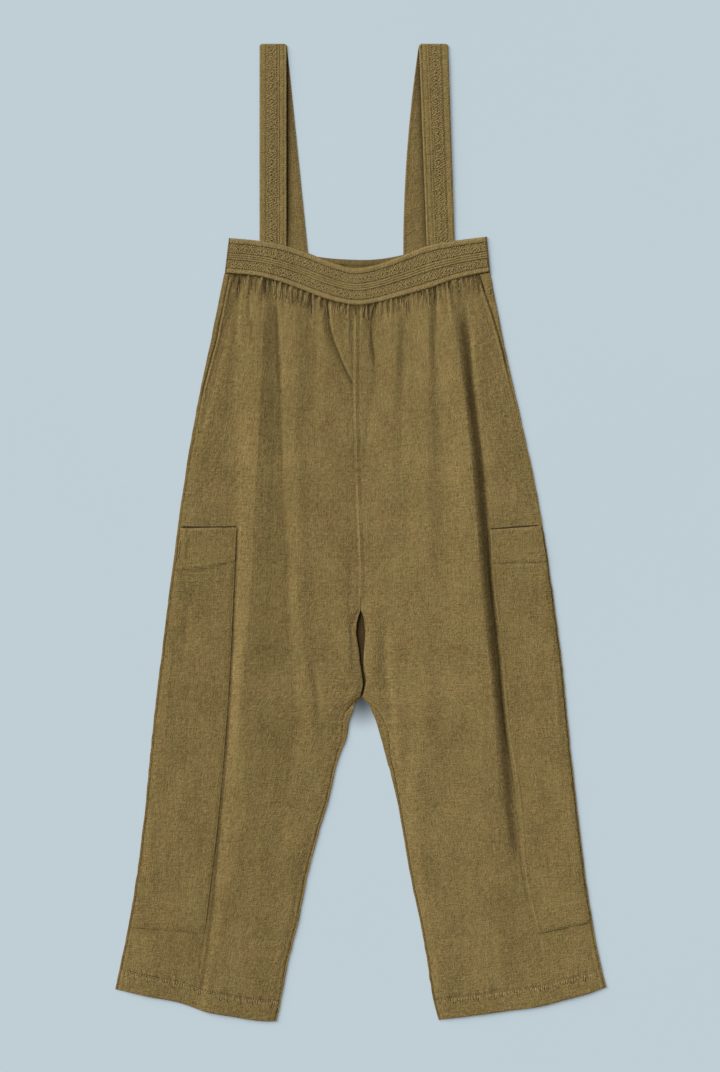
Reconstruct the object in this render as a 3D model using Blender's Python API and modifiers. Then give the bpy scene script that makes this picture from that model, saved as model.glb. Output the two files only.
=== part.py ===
"""
A wide-leg jumpsuit with two shoulder straps, laid flat on its back.

X runs across the garment, Y from the hems up to the straps and Z up from the surface that it lies on.
Every table and size is in millimetres in that frame. Left and right are those of a viewer above it.
Each piece is one sheet of cloth: its inner face is worked out as rows of points, and a wall is grown
outwards from that face.
"""

import math
from collections import namedtuple

import bpy
import numpy as np

MM = 0.001

# Driving dimensions
WALL = 1.0
GAP = 0.3
HEM_WALL = 1.8
HEM_DEPTH = 29.0
BAND_WALL = 1.5
STRAP_WALL = 1.2
POCKET_WALL = 1.0
POCKET_HEM_WALL = 1.6
THICKEST_WALL = 3.0
ROLL_RADIUS = 1.5
EDGE_HEIGHT = 2.0
FRONT_HEIGHT = 2.5
LOWEST_FRONT = 1.35
LOWEST_HEM = 2.2
HIGHEST_FRONT = 4.8
SLIT_GAP = 0.9
SLIT_TOP_Y = -95.0
SLIT_OPENING_LENGTH = 30.0
SIDE_SOFTNESS = 14.0
INSEAM_SOFTNESS = 12.0
HEM_SOFTNESS = 20.0
HEM_CLEARANCE = 4.0
HEM_STITCH_MARGIN = 1.0
CLOTH_COLOUR = (0.195, 0.138, 0.055, 1.0)

Spot = namedtuple("Spot", "x y")
Inset = namedtuple("Inset", "y inset")
Level = namedtuple("Level", "y waist hem")
Fold = namedtuple("Fold", "top middle low left_width right_width rise fade_top fade_low")
Gather = namedtuple("Gather", "x height reach")
Rib = namedtuple("Rib", "across raised")

# Outlines of the laid garment, from the waist down
SIDE = {
    "left": (
        Spot(-191, 365), Spot(-193, 354), Spot(-210, 270), Spot(-233, 158), Spot(-251, 46),
        Spot(-266, -66), Spot(-280, -178), Spot(-293, -290), Spot(-304, -402), Spot(-319, -514),
        Spot(-341, -626), Spot(-344, -640),
    ),
    "right": (
        Spot(181, 365), Spot(183, 354), Spot(199, 270), Spot(224, 158), Spot(248, 46),
        Spot(266, -66), Spot(281, -178), Spot(292, -290), Spot(305, -402), Spot(319, -514),
        Spot(341, -626), Spot(344, -637),
    ),
}
INSEAM = {
    "left": (
        Spot(1, -230), Spot(-5, -238), Spot(-14, -257), Spot(-21, -290), Spot(-32, -318),
        Spot(-45, -374), Spot(-62, -430), Spot(-76, -486), Spot(-87, -542), Spot(-101, -598),
        Spot(-112, -654), Spot(-118, -684),
    ),
    "right": (
        Spot(1, -230), Spot(7, -238), Spot(18, -257), Spot(28, -290), Spot(36, -318),
        Spot(50, -374), Spot(60, -430), Spot(70, -486), Spot(82, -542), Spot(92, -598),
        Spot(101, -654), Spot(108, -682),
    ),
}
HEM = {
    "left": (
        Spot(-344, -639), Spot(-301, -649), Spot(-251, -659), Spot(-217, -671), Spot(-184, -677),
        Spot(-133, -684), Spot(-118, -684),
    ),
    "right": (
        Spot(108, -682), Spot(152, -677), Spot(203, -670), Spot(253, -663), Spot(287, -654),
        Spot(320, -645), Spot(344, -636),
    ),
}
CENTRE_SEAM = (
    Spot(-6, 340), Spot(-7, 186), Spot(-4, 60), Spot(0, -76), Spot(-1, -113), Spot(-1, -150),
    Spot(1, -192), Spot(3, -214), Spot(1, -230),
)

# How far inside the outline the front leg ends, at the side seam and at the inseam
SIDE_INSET = {
    "left": (Inset(365, 8), Inset(270, 9), Inset(200, 5), Inset(160, 7), Inset(-640, 7)),
    "right": (
        Inset(365, 17), Inset(338, 15), Inset(312, 10), Inset(270, 6), Inset(225, 5),
        Inset(190, 7), Inset(-640, 7),
    ),
}
INSEAM_INSET = {
    "left": (Inset(-230, 1), Inset(-248, 8), Inset(-290, 9), Inset(-318, 6), Inset(-684, 6)),
    "right": (Inset(-230, 1), Inset(-248, 10), Inset(-280, 17), Inset(-310, 9), Inset(-684, 7)),
}

# Edges of the two waistbands
BAND_TOP = (
    Spot(-185, 412), Spot(-143, 408), Spot(-105, 401), Spot(-74, 391), Spot(-44, 379),
    Spot(-10, 370), Spot(26, 376), Spot(59, 388), Spot(92, 401), Spot(130, 408), Spot(176, 414),
)
BAND_BOTTOM = (
    Spot(-191, 363), Spot(-142, 358), Spot(-100, 346), Spot(-58, 330), Spot(-23, 320),
    Spot(-6, 318), Spot(19, 321), Spot(54, 330), Spot(96, 342), Spot(138, 356), Spot(181, 365),
)
BACK_TOP = (
    Spot(-185, 412), Spot(-142, 405), Spot(-100, 396), Spot(-66, 387), Spot(-16, 382),
    Spot(18, 382), Spot(52, 387), Spot(96, 400), Spot(138, 408), Spot(176, 414),
)
BACK_BAND_DEPTH = 51.0
BAND_INSET = 5.0
BAND_STATIONS = 25
BACK_BAND_ROWS = 5

# Ribs across a waistband, from its top edge: binding, stitched band, three cords, stitched band, cord
BAND_RIBS = (
    Rib(0.00, 0.3), Rib(0.03, 0.6), Rib(0.13, 0.6), Rib(0.165, 0.0), Rib(0.19, 0.4),
    Rib(0.40, 0.4), Rib(0.425, 0.0), Rib(0.455, 0.5), Rib(0.485, 0.0), Rib(0.515, 0.5),
    Rib(0.545, 0.0), Rib(0.575, 0.5), Rib(0.605, 0.0), Rib(0.63, 0.4), Rib(0.83, 0.4),
    Rib(0.855, 0.0), Rib(0.89, 0.6), Rib(0.97, 0.6), Rib(1.00, 0.3),
)

# Ribs across a strap, from its outer edge: edge, plain, stitched band, cord, plain, edge
STRAP_RIBS = (
    Rib(0.00, 0.2), Rib(0.09, 0.3), Rib(0.12, 0.0), Rib(0.23, 0.0), Rib(0.26, 0.4),
    Rib(0.65, 0.4), Rib(0.68, 0.0), Rib(0.72, 0.4), Rib(0.76, 0.0), Rib(0.92, 0.0), Rib(1.00, 0.3),
)
STRAP_FOLD_TURNS = 4
STRAP_STATIONS = 6
STRAP_RISE = 25.0

Strap = namedtuple("Strap", "name fold front_end back_end mirrored")
STRAPS = (
    Strap("strap_left", (-142, -104), (-142, -104), (-112, -74), False),
    Strap("strap_right", (84, 122), (92, 131), (59, 97), True),
)
STRAP_TOP = 684.0

# Rows of a leg: height of the row at the centre, and how much of the waist's and the hem's curve it
# follows; above them are the rows of the gathers, at these distances under the waist seam
GATHER_ROWS = (0, 6, 15, 30, 56)
LEVELS = (
    Level(225, 0.75, 0), Level(190, 0.55, 0), Level(155, 0.35, 0), Level(118, 0.2, 0),
    Level(80, 0.1, 0), Level(40, 0, 0), Level(0, 0, 0), Level(-40, 0, 0), Level(-76, 0, 0),
    Level(-103, 0, 0), Level(-120, 0, 0), Level(-136, 0, 0), Level(-155, 0, 0),
    Level(-178, 0, 0), Level(-202, 0, 0), Level(-220, 0, 0), Level(-230, 0, 0),
    Level(-238, 0, 0), Level(-248, 0, 0), Level(-262, 0, 0), Level(-285, 0, 0),
    Level(-316, 0, 0), Level(-354, 0, 0), Level(-396, 0, 0), Level(-440, 0, 0.05),
    Level(-488, 0, 0.2), Level(-536, 0, 0.4), Level(-584, 0, 0.7), Level(-628, 0, 0.95),
    Level(-652, 0, 1), Level(-657, 0, 1), Level(-684, 0, 1),
)
CROTCH_Y = -230.0
WAIST_CENTRE_Y = 318.0
HEM_LOWEST_Y = -684.0
INSEAM_ROLL_LENGTH = 22.0

FRONT_COLUMNS = 25
COLUMN_CROWDING = 0.4
EDGE_PASSES = 6
BACK_FLAT_COLUMNS = 3
BACK_SEAM_COLUMNS = 13
EDGE_SHARE = 0.01
SAME_SHARE = 1e-6
ROLL_STEPS = 4
UNROLLED_STEP = 0.8

# Large folds: the crest is a smooth line through three spots; a negative rise is a trough
FOLDS = (
    Fold(Spot(-139, 346), Spot(-146, -38), Spot(-175, -486), 18, 15, 2.0, 1, 90),
    Fold(Spot(-80, 74), Spot(-70, -150), Spot(-55, -360), 10, 25, 1.3, 60, 60),
    Fold(Spot(-74, 332), Spot(-73, 260), Spot(-72, 186), 6, 6, -1.2, 1, 60),
    Fold(Spot(-44, 324), Spot(-36, 265), Spot(-8, 205), 3, 20, 1.8, 1, 15),
    Fold(Spot(-50, 324), Spot(-43, 265), Spot(-15, 205), 7, 5, -0.9, 1, 20),
    Fold(Spot(10, 340), Spot(10, 276), Spot(10, 206), 5, 5, -1.0, 1, 40),
    Fold(Spot(22, 320), Spot(18, 283), Spot(23, 222), 3, 18, 1.6, 1, 40),
    Fold(Spot(40, 284), Spot(45, 144), Spot(43, 18), 18, 10, 1.0, 60, 60),
    Fold(Spot(92, 340), Spot(98, 74), Spot(74, -374), 16, 9, 1.8, 1, 90),
    Fold(Spot(124, 326), Spot(158, 74), Spot(194, -374), 24, 11, 1.5, 1, 100),
    Fold(Spot(131, 326), Spot(173, -10), Spot(208, -444), 9, 5, -1.9, 1, 60),
    Fold(Spot(-168, 0), Spot(-180, -240), Spot(-212, -552), 4, 13, -0.9, 20, 60),
    Fold(Spot(-18, -108), Spot(-22, -150), Spot(-12, -213), 22, 7, 1.9, 25, 20),
    Fold(Spot(14, -110), Spot(18, -158), Spot(16, -213), 7, 22, 1.9, 25, 20),
    Fold(Spot(0, -104), Spot(-1, -150), Spot(2, -225), 4, 4, -2.2, 12, 5),
    Fold(Spot(-30, -100), Spot(-40, -250), Spot(-60, -420), 9, 9, -0.6, 60, 60),
    Fold(Spot(40, -60), Spot(46, -220), Spot(58, -400), 9, 9, -0.7, 60, 60),
)

# Small gathers along the waist seam: place of each crest, its height and how far down it runs
GATHERS = {
    "left": (
        Gather(-178, 0.8, 26), Gather(-169, 1.0, 40), Gather(-157, 1.1, 34), Gather(-146, 1.0, 45),
        Gather(-138, 1.2, 60), Gather(-129, 0.9, 30), Gather(-120, 0.8, 28), Gather(-112, 1.1, 46),
        Gather(-104, 1.0, 34), Gather(-97, 1.2, 52), Gather(-90, 1.0, 40), Gather(-83, 1.3, 56),
        Gather(-76, 1.0, 44), Gather(-66, 1.3, 58), Gather(-58, 1.0, 36), Gather(-49, 0.9, 44),
        Gather(-41, 0.9, 34), Gather(-32, 1.0, 48), Gather(-25, 1.1, 40), Gather(-18, 1.0, 52),
        Gather(-11, 0.8, 36),
    ),
    "right": (
        Gather(1, 0.9, 40), Gather(8, 0.8, 30), Gather(18, 1.2, 60), Gather(27, 0.9, 34),
        Gather(35, 1.0, 44), Gather(43, 1.2, 52), Gather(50, 1.0, 38), Gather(57, 1.3, 58),
        Gather(64, 0.9, 30), Gather(71, 1.1, 50), Gather(78, 1.0, 40), Gather(86, 1.2, 56),
        Gather(93, 1.3, 60), Gather(100, 0.9, 36), Gather(107, 1.1, 48), Gather(114, 1.0, 40),
        Gather(121, 1.2, 56), Gather(127, 0.9, 34), Gather(133, 1.1, 46), Gather(140, 1.0, 52),
        Gather(147, 0.9, 38), Gather(154, 0.8, 30), Gather(161, 0.6, 24),
    ),
}
GATHER_DIP = 0.25

# Patch pockets on the front legs, sewn into the side seams
Pocket = namedtuple("Pocket", "name leg inner_edge top_y bottom_y hem_depth")
POCKETS = (
    Pocket(
        "side_pocket_left", "left",
        (Spot(-174, 7), Spot(-186, -234), Spot(-193, -328), Spot(-202, -422), Spot(-219, -561)),
        (6, 7), (-552, -561), 50.0,
    ),
    Pocket(
        "side_pocket_right", "right",
        (
            Spot(181, 4), Spot(185, -72), Spot(194, -144), Spot(204, -262), Spot(223, -388),
            Spot(229, -471), Spot(248, -561),
        ),
        (9, 4), (-545, -561), 36.0,
    ),
)
POCKET_ROWS = 13
POCKET_COLUMNS = 5
POCKET_BED_MARGIN = 3.0
POCKET_BED_SLOPE = 12.0
SIGN = {"left": -1, "right": 1}


def smooth_curve(places, values):
    """A smooth curve through the given values: a cubic between each pair, straight past both ends."""
    order = np.argsort(places)
    at = np.asarray(places, float)[order]
    value = np.asarray(values, float)[order]
    slope = np.gradient(value, at)

    def curve(wanted):
        inside = np.clip(wanted, at[0], at[-1])
        i = np.clip(np.searchsorted(at, inside) - 1, 0, len(at) - 2)
        span = at[i + 1] - at[i]
        t = (inside - at[i]) / span
        start = (1 + 2 * t) * (1 - t) ** 2 * value[i] + t * (1 - t) ** 2 * span * slope[i]
        end = t * t * (3 - 2 * t) * value[i + 1] - t * t * (1 - t) * span * slope[i + 1]
        past = np.where(wanted < at[0], slope[0], slope[-1]) * (wanted - inside)
        return start + end + past

    return curve


def x_of_y(spots):
    return smooth_curve([spot.y for spot in spots], [spot.x for spot in spots])


def y_of_x(spots):
    return smooth_curve([spot.x for spot in spots], [spot.y for spot in spots])


def straight_inset(rows):
    ys = [row.y for row in rows][::-1]
    insets = [row.inset for row in rows][::-1]
    return lambda y: np.interp(y, ys, insets)


def ease(value):
    """0 below 0, 1 above 1 and a smooth step between."""
    t = np.clip(value, 0, 1)
    return t * t * (3 - 2 * t)


side_x = {leg: x_of_y(SIDE[leg]) for leg in SIDE}
inseam_x = {leg: x_of_y(INSEAM[leg]) for leg in INSEAM}
side_inset = {leg: straight_inset(SIDE_INSET[leg]) for leg in SIDE}
inseam_inset = {leg: straight_inset(INSEAM_INSET[leg]) for leg in SIDE}
hem_y = {leg: y_of_x(HEM[leg]) for leg in HEM}
centre_x = x_of_y(CENTRE_SEAM)
band_top_y = y_of_x(BAND_TOP)
band_bottom_y = y_of_x(BAND_BOTTOM)
back_top_y = y_of_x(BACK_TOP)


def back_bottom_y(x):
    return back_top_y(x) - BACK_BAND_DEPTH


def side_seam_x(leg, y):
    """Where the front leg ends at the side seam."""
    return side_x[leg](y) - SIGN[leg] * side_inset[leg](y)


def inner_edge_x(leg, y):
    """Where the front leg ends inside: at the centre seam, then at the inseam."""
    slit = ease((SLIT_TOP_Y - y) / SLIT_OPENING_LENGTH)
    centre = centre_x(y) + SIGN[leg] * (GAP + slit * SLIT_GAP) / 2
    inseam = inseam_x[leg](y) + SIGN[leg] * (inseam_inset[leg](y) + GAP / 2)
    return np.where(y >= CROTCH_Y, centre, inseam)


def level_y(level, x, leg, waist_y):
    """Height of a row at x: the row's level, bent by its shares of the waist's and the hem's curve."""
    waist = level.waist * (waist_y(x) - WAIST_CENTRE_Y)
    hem = level.hem * (hem_y[leg](x) - HEM_LOWEST_Y)
    return level.y + waist + hem


def fold_rise(fold, x, y):
    """A ridge or trough of bell section along a parabola through the fold's three spots."""
    spots = (fold.top, fold.middle, fold.low)
    path = np.polynomial.Polynomial.fit([s.y for s in spots], [s.x for s in spots], 2)
    away = x - path(y)
    width = np.where(away < 0, fold.left_width, fold.right_width)
    length = ease((fold.top.y + fold.fade_top - y) / fold.fade_top)
    length = length * ease((y - fold.low.y + fold.fade_low) / fold.fade_low)
    return fold.rise * length * np.exp(-((away / width) ** 2))


def pocket_bed(x, y):
    """1 where a patch pocket lies on the front leg, falling to 0 around it."""
    bed = np.zeros(np.shape(x))
    for pocket in POCKETS:
        sign = SIGN[pocket.leg]
        edge = x_of_y(pocket.inner_edge)(y)
        inside = (x - edge) * sign + 2 * POCKET_BED_MARGIN
        high = max(pocket.top_y) + POCKET_BED_SLOPE - y
        low = y - min(pocket.bottom_y) + POCKET_BED_SLOPE
        share = ease(inside / POCKET_BED_MARGIN)
        share = share * ease(high / POCKET_BED_SLOPE) * ease(low / POCKET_BED_SLOPE)
        bed = np.maximum(bed, share)
    return bed


def front_height(leg, x, y):
    """Height of the inside of the front leg over the surface."""
    from_side = np.abs(x - side_seam_x(leg, y))
    from_inseam = np.where(y < CROTCH_Y, np.abs(x - inner_edge_x(leg, y)), INSEAM_SOFTNESS)
    body = ease(from_side / SIDE_SOFTNESS) * ease(from_inseam / INSEAM_SOFTNESS)
    folds = sum(fold_rise(fold, x, y) for fold in FOLDS)
    height = EDGE_HEIGHT + body * (FRONT_HEIGHT - EDGE_HEIGHT + folds * (1 - pocket_bed(x, y)))
    above_hem = ease((y - hem_y[leg](x) - HEM_DEPTH - HEM_CLEARANCE) / HEM_SOFTNESS)
    lowest = LOWEST_HEM + (LOWEST_FRONT - LOWEST_HEM) * above_hem
    return np.clip(height, lowest, HIGHEST_FRONT)


def column_shares(count):
    """Shares from 0 to 1, closer together near both ends."""
    t = np.linspace(0, 1, count)
    return (1 - COLUMN_CROWDING) * t + COLUMN_CROWDING * (1 - np.cos(math.pi * t)) / 2


def row_ends(level, leg, waist_y, edge_pair):
    """X of both ends of a row, found by following the row's own curve to each edge."""
    ends = []
    for edge in edge_pair:
        x = float(edge(level.y))
        for _ in range(EDGE_PASSES):
            x = float(edge(level_y(level, x, leg, waist_y)))
        ends.append(x)
    return ends


def gather_shares(leg, outer, inner):
    """Shares across the waist of every crest and of the dips between, with how high each stands."""
    gathers = sorted(GATHERS[leg], key=lambda gather: abs(gather.x - outer))
    crests = np.array([(g.x - outer) / (inner - outer) for g in gathers])
    height = np.array([g.height for g in gathers])
    reach = np.array([g.reach for g in gathers])
    dips = np.concatenate([[0.0], (crests[1:] + crests[:-1]) / 2, [1.0]])
    shares = np.empty(len(crests) + len(dips))
    shares[0::2], shares[1::2] = dips, crests
    rise = np.full(len(shares), -GATHER_DIP)
    rise[1::2] = height
    rise[[0, -1]] = 0
    length = np.full(len(shares), np.mean(reach))
    length[1::2] = reach
    return shares, rise, length


def front_rows(leg):
    """Rows of the inner face of a front leg from the waist to the hem: share, point and wall."""
    edges = (lambda y: side_seam_x(leg, y), lambda y: inner_edge_x(leg, y))
    rows = []
    outer, inner = row_ends(Level(WAIST_CENTRE_Y, 1, 0), leg, band_bottom_y, edges)
    shares, rise, length = gather_shares(leg, outer, inner)
    for down in GATHER_ROWS:
        level = Level(WAIST_CENTRE_Y - GAP - down, 1, 0)
        outer, inner = row_ends(level, leg, band_bottom_y, edges)
        x = outer + (inner - outer) * shares
        y = level_y(level, x, leg, band_bottom_y)
        z = front_height(leg, x, y) + rise * np.exp(-((down / length) ** 2))
        z = np.minimum(z, HIGHEST_FRONT)
        rows.append((shares, np.column_stack([x, y, z]), np.full(len(x), WALL)))
    shares = column_shares(FRONT_COLUMNS)
    for level in LEVELS:
        outer, inner = row_ends(level, leg, band_bottom_y, edges)
        x = outer + (inner - outer) * shares
        y = level_y(level, x, leg, band_bottom_y)
        z = front_height(leg, x, y)
        turned_up = y < hem_y[leg](x) + HEM_DEPTH - HEM_STITCH_MARGIN
        rows.append((shares, np.column_stack([x, y, z]), np.where(turned_up, HEM_WALL, WALL)))
    return rows


def roll_section(inset, radius):
    """
    A turned edge, as distance from the outline and height: the free end, then half a circle.

    The free end lies inset from the outline at the top; the half circle runs from the top to the bottom.
    """
    angles = np.linspace(math.pi / 2, -math.pi / 2, ROLL_STEPS + 1)
    away = radius - radius * np.cos(angles)
    height = radius + radius * np.sin(angles)
    return np.concatenate([[inset], away]), np.concatenate([[2 * radius], height])


def back_rows(leg):
    """Rows of the outer face of a back leg: it lies flat and rolls up over both long edges."""
    sign = SIGN[leg]

    def side_edge(y):
        return side_x[leg](y)

    def inner_edge(y):
        return np.where(y >= CROTCH_Y, centre_x(CROTCH_Y) + sign * GAP / 2, inseam_x[leg](y))

    def side_end(y):
        return side_seam_x(leg, y) + sign * GAP

    def inner_end(y):
        return inner_edge_x(leg, y) - sign * GAP

    rows = []
    gathered = tuple(Level(WAIST_CENTRE_Y - GAP - down, 1, 0) for down in GATHER_ROWS)
    for level in gathered + LEVELS:
        outer, inner = row_ends(level, leg, back_bottom_y, (side_edge, inner_edge))
        outer_end, inner_free = row_ends(level, leg, band_bottom_y, (side_end, inner_end))
        away, height = roll_section(sign * (outer - outer_end), ROLL_RADIUS)
        x_side = outer - sign * away
        rolled = float(ease((CROTCH_Y - level.y) / INSEAM_ROLL_LENGTH))
        over, lift = roll_section(sign * (inner_free - inner), ROLL_RADIUS)
        flat = np.arange(len(over)) * UNROLLED_STEP
        x_inner = inner + sign * (flat * (1 - rolled) + over * rolled)
        columns = BACK_SEAM_COLUMNS if level is gathered[0] else BACK_FLAT_COLUMNS
        between = np.linspace(x_side[-1], x_inner[-1], columns + 2)[1:-1]
        x = np.concatenate([x_side, between, x_inner[::-1]])
        z = np.concatenate([height, np.zeros(len(between)), (lift * rolled)[::-1]])
        y = level_y(level, x, leg, back_bottom_y)
        y[1:len(x_side)] = level_y(level, outer, leg, back_bottom_y)
        y[0] = level_y(level, x[0], leg, band_bottom_y)
        edge_shares = np.arange(len(x_side)) * EDGE_SHARE
        flat_shares = np.linspace(edge_shares[-1], 1 - edge_shares[-1], columns + 2)[1:-1]
        shares = np.concatenate([edge_shares, flat_shares, 1 - edge_shares[::-1]])
        lies_flat = (shares > edge_shares[-1]) & (shares < 1 - edge_shares[-1])
        turned_up = lies_flat & (y < hem_y[leg](x) + HEM_DEPTH - HEM_STITCH_MARGIN)
        rows.append((shares, np.column_stack([x, y, z]), np.where(turned_up, HEM_WALL, WALL)))
    return rows


def rows_left_to_right(rows, leg):
    """Turns the rows of a right leg round, so that every row runs towards +X."""
    if leg == "left":
        return rows
    return [(1 - shares[::-1], points[::-1], wall[::-1]) for shares, points, wall in rows]


def pocket_rows(pocket):
    """Rows of a patch pocket: the front leg's own face under it, moved out by the wall and a gap."""
    leg, sign = pocket.leg, SIGN[pocket.leg]
    edge = x_of_y(pocket.inner_edge)
    shares = np.linspace(0, 1, POCKET_COLUMNS)
    length = pocket.inner_edge[0].y - pocket.inner_edge[-1].y
    stitching = pocket.hem_depth / length
    step = HEM_STITCH_MARGIN / length
    below = np.linspace(stitching, 1, POCKET_ROWS)
    rows = []
    for down in np.concatenate([[0.0, stitching / 2, stitching - step], below]):
        y_outer = pocket.top_y[0] + (pocket.bottom_y[0] - pocket.top_y[0]) * down
        y_inner = pocket.top_y[1] + (pocket.bottom_y[1] - pocket.top_y[1]) * down
        outer = side_seam_x(leg, y_outer) - sign * GAP
        inner = edge(y_inner)
        x = outer + (inner - outer) * shares
        y = y_outer + (y_inner - y_outer) * shares
        z = np.full(len(x), FRONT_HEIGHT + WALL + GAP)
        wall = np.full(len(x), POCKET_HEM_WALL if down < stitching else POCKET_WALL)
        rows.append((shares, np.column_stack([x, y, z]), wall))
    return rows


def front_band_rows():
    """Rows of the front waistband from its top edge down, with the ribs raised in its outer face."""
    shares = np.linspace(0, 1, BAND_STATIONS)
    top_x = np.linspace(BAND_TOP[0].x + BAND_INSET, BAND_TOP[-1].x - BAND_INSET, BAND_STATIONS)
    low_x = np.linspace(BAND_BOTTOM[0].x + BAND_INSET, BAND_BOTTOM[-1].x - BAND_INSET, BAND_STATIONS)
    rows = []
    for rib in BAND_RIBS:
        x = top_x + (low_x - top_x) * rib.across
        y = band_top_y(top_x) + (band_bottom_y(low_x) - band_top_y(top_x)) * rib.across
        z = np.full(len(x), BAND_WALL + GAP)
        rows.append((shares, np.column_stack([x, y, z]), np.full(len(x), BAND_WALL + rib.raised)))
    return rows


def back_band_rows():
    """Rows of the back waistband: flat on the surface, rolled up over both sides."""
    radius = BAND_WALL + GAP / 2
    away, height = roll_section(BAND_INSET - GAP, radius)
    rows = []
    for down in np.linspace(0, 1, BACK_BAND_ROWS):
        left = BAND_TOP[0].x + (BAND_BOTTOM[0].x - BAND_TOP[0].x) * down
        right = BAND_TOP[-1].x + (BAND_BOTTOM[-1].x - BAND_TOP[-1].x) * down
        flat = np.linspace(left + radius, right - radius, BAND_STATIONS)[1:-1]
        x = np.concatenate([left + away, flat, (right - away)[::-1]])
        z = np.concatenate([height, np.zeros(len(flat)), height[::-1]])
        at = np.concatenate([np.full(len(away), left), flat, np.full(len(away), right)])
        y = back_top_y(at) - BACK_BAND_DEPTH * down
        rows.append((np.linspace(0, 1, len(x)), np.column_stack([x, y, z]), np.full(len(x), BAND_WALL)))
    return rows


def strap_rows(strap):
    """
    Rows of a strap along its length, on its inner face.

    It runs up from the front band, folds over at the top and comes back under itself to the back band.
    """
    across = np.array([rib.across for rib in STRAP_RIBS])
    ribs = np.array([rib.raised for rib in STRAP_RIBS])
    if strap.mirrored:
        across, ribs = 1 - across[::-1], ribs[::-1]
    fold = strap.fold[0] + (strap.fold[1] - strap.fold[0]) * across
    front = strap.front_end[0] + (strap.front_end[1] - strap.front_end[0]) * across
    back = strap.back_end[0] + (strap.back_end[1] - strap.back_end[0]) * across
    front_end = band_top_y(front) + GAP
    back_end = back_top_y(back) + GAP
    turn = GAP / 2
    fold_y = STRAP_TOP - turn - STRAP_WALL
    high, low = STRAP_WALL + GAP, STRAP_WALL
    rows = []
    for up in np.linspace(0, 1, STRAP_STATIONS):
        y = front_end + (fold_y - front_end) * up
        x = front + (fold - front) * up
        at_band = BAND_WALL + GAP
        z = high + (at_band - high) * ease(1 - (y - front_end) / STRAP_RISE)
        rows.append((across, np.column_stack([x, y, z]), STRAP_WALL + ribs))
    for step in range(1, STRAP_FOLD_TURNS):
        angle = math.pi * step / STRAP_FOLD_TURNS
        y = np.full(len(across), fold_y + turn * math.sin(angle))
        z = np.full(len(across), (high + low) / 2 + turn * math.cos(angle))
        rows.append((across, np.column_stack([fold, y, z]), np.full(len(across), STRAP_WALL)))
    for down in np.linspace(0, 1, STRAP_STATIONS):
        y = fold_y + (back_end - fold_y) * down
        x = fold + (back - fold) * down
        z = np.full(len(across), low)
        rows.append((across, np.column_stack([x, y, z]), np.full(len(across), STRAP_WALL)))
    return rows[::-1]


def faces_between(first, second, start_a, start_b):
    """Faces between two rows of unlike counts, joined in the order of their shares."""
    faces = []
    i = j = 0
    while i < len(first) - 1 or j < len(second) - 1:
        next_a = first[i + 1] if i < len(first) - 1 else math.inf
        next_b = second[j + 1] if j < len(second) - 1 else math.inf
        if math.isclose(next_a, next_b, abs_tol=SAME_SHARE):
            faces.append((start_a + i, start_b + j, start_b + j + 1, start_a + i + 1))
            i += 1
            j += 1
        elif next_a < next_b:
            faces.append((start_a + i, start_b + j, start_a + i + 1))
            i += 1
        else:
            faces.append((start_a + i, start_b + j, start_b + j + 1))
            j += 1
    return faces


def add_cloth(name, rows, material, collection):
    """One piece of cloth: the sheet through the rows, with a wall grown along its normals."""
    points = np.vstack([row[1] for row in rows]) * MM
    walls = np.concatenate([row[2] for row in rows])
    starts = np.concatenate([[0], np.cumsum([len(row[0]) for row in rows])])
    faces = []
    for i in range(len(rows) - 1):
        faces += faces_between(rows[i][0], rows[i + 1][0], int(starts[i]), int(starts[i + 1]))
    mesh = bpy.data.meshes.new(name)
    mesh.from_pydata(points.tolist(), [], faces)
    mesh.materials.append(material)
    piece = bpy.data.objects.new(name, mesh)
    collection.objects.link(piece)
    group = piece.vertex_groups.new(name="wall")
    for wall in np.unique(walls):
        group.add(np.flatnonzero(walls == wall).tolist(), float(wall) / THICKEST_WALL, "REPLACE")
    solidify = piece.modifiers.new("wall", "SOLIDIFY")
    solidify.thickness = THICKEST_WALL * MM
    solidify.offset = 1.0
    solidify.vertex_group = group.name
    solidify.use_quality_normals = True
    mesh.shade_smooth()
    return piece


def cloth_material(name, shade):
    material = bpy.data.materials.new(name)
    material.use_nodes = True
    shader = material.node_tree.nodes["Principled BSDF"]
    red, green, blue, alpha = CLOTH_COLOUR
    shader.inputs["Base Color"].default_value = (red * shade, green * shade, blue * shade, alpha)
    shader.inputs["Roughness"].default_value = 0.9
    shader.inputs["Metallic"].default_value = 0.0
    return material


def main():
    for old in list(bpy.data.objects):
        bpy.data.objects.remove(old, do_unlink=True)
    garment = bpy.data.collections.new("wide_leg_jumpsuit")
    bpy.context.scene.collection.children.link(garment)
    for leg in ("left", "right"):
        front = rows_left_to_right(front_rows(leg), leg)
        back = rows_left_to_right(back_rows(leg), leg)
        add_cloth(f"front_leg_{leg}", front, cloth_material(f"front_{leg}_gauze", 1.0), garment)
        add_cloth(f"back_leg_{leg}", back, cloth_material(f"back_{leg}_gauze", 0.95), garment)
    for pocket in POCKETS:
        rows = rows_left_to_right(pocket_rows(pocket), pocket.leg)
        add_cloth(pocket.name, rows, cloth_material(f"{pocket.name}_gauze", 0.98), garment)
    front_band = cloth_material("front_band_gauze", 0.9)
    add_cloth("front_waistband", front_band_rows(), front_band, garment)
    back_band = cloth_material("back_band_gauze", 0.85)
    add_cloth("back_waistband", back_band_rows(), back_band, garment)
    for strap in STRAPS:
        add_cloth(strap.name, strap_rows(strap), cloth_material(f"{strap.name}_gauze", 0.9), garment)


main()
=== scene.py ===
"""
Looks of a wide-leg jumpsuit in crinkled cotton gauze, laid flat on its back on a pale surface.

Tables and sizes are in millimetres in the part's frame: X to the viewer's right, Y from the hems up to
the straps, Z up. Every piece of cloth is a closed shell between an outer and an inner grid of points.
"""

import math
from collections import namedtuple

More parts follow.
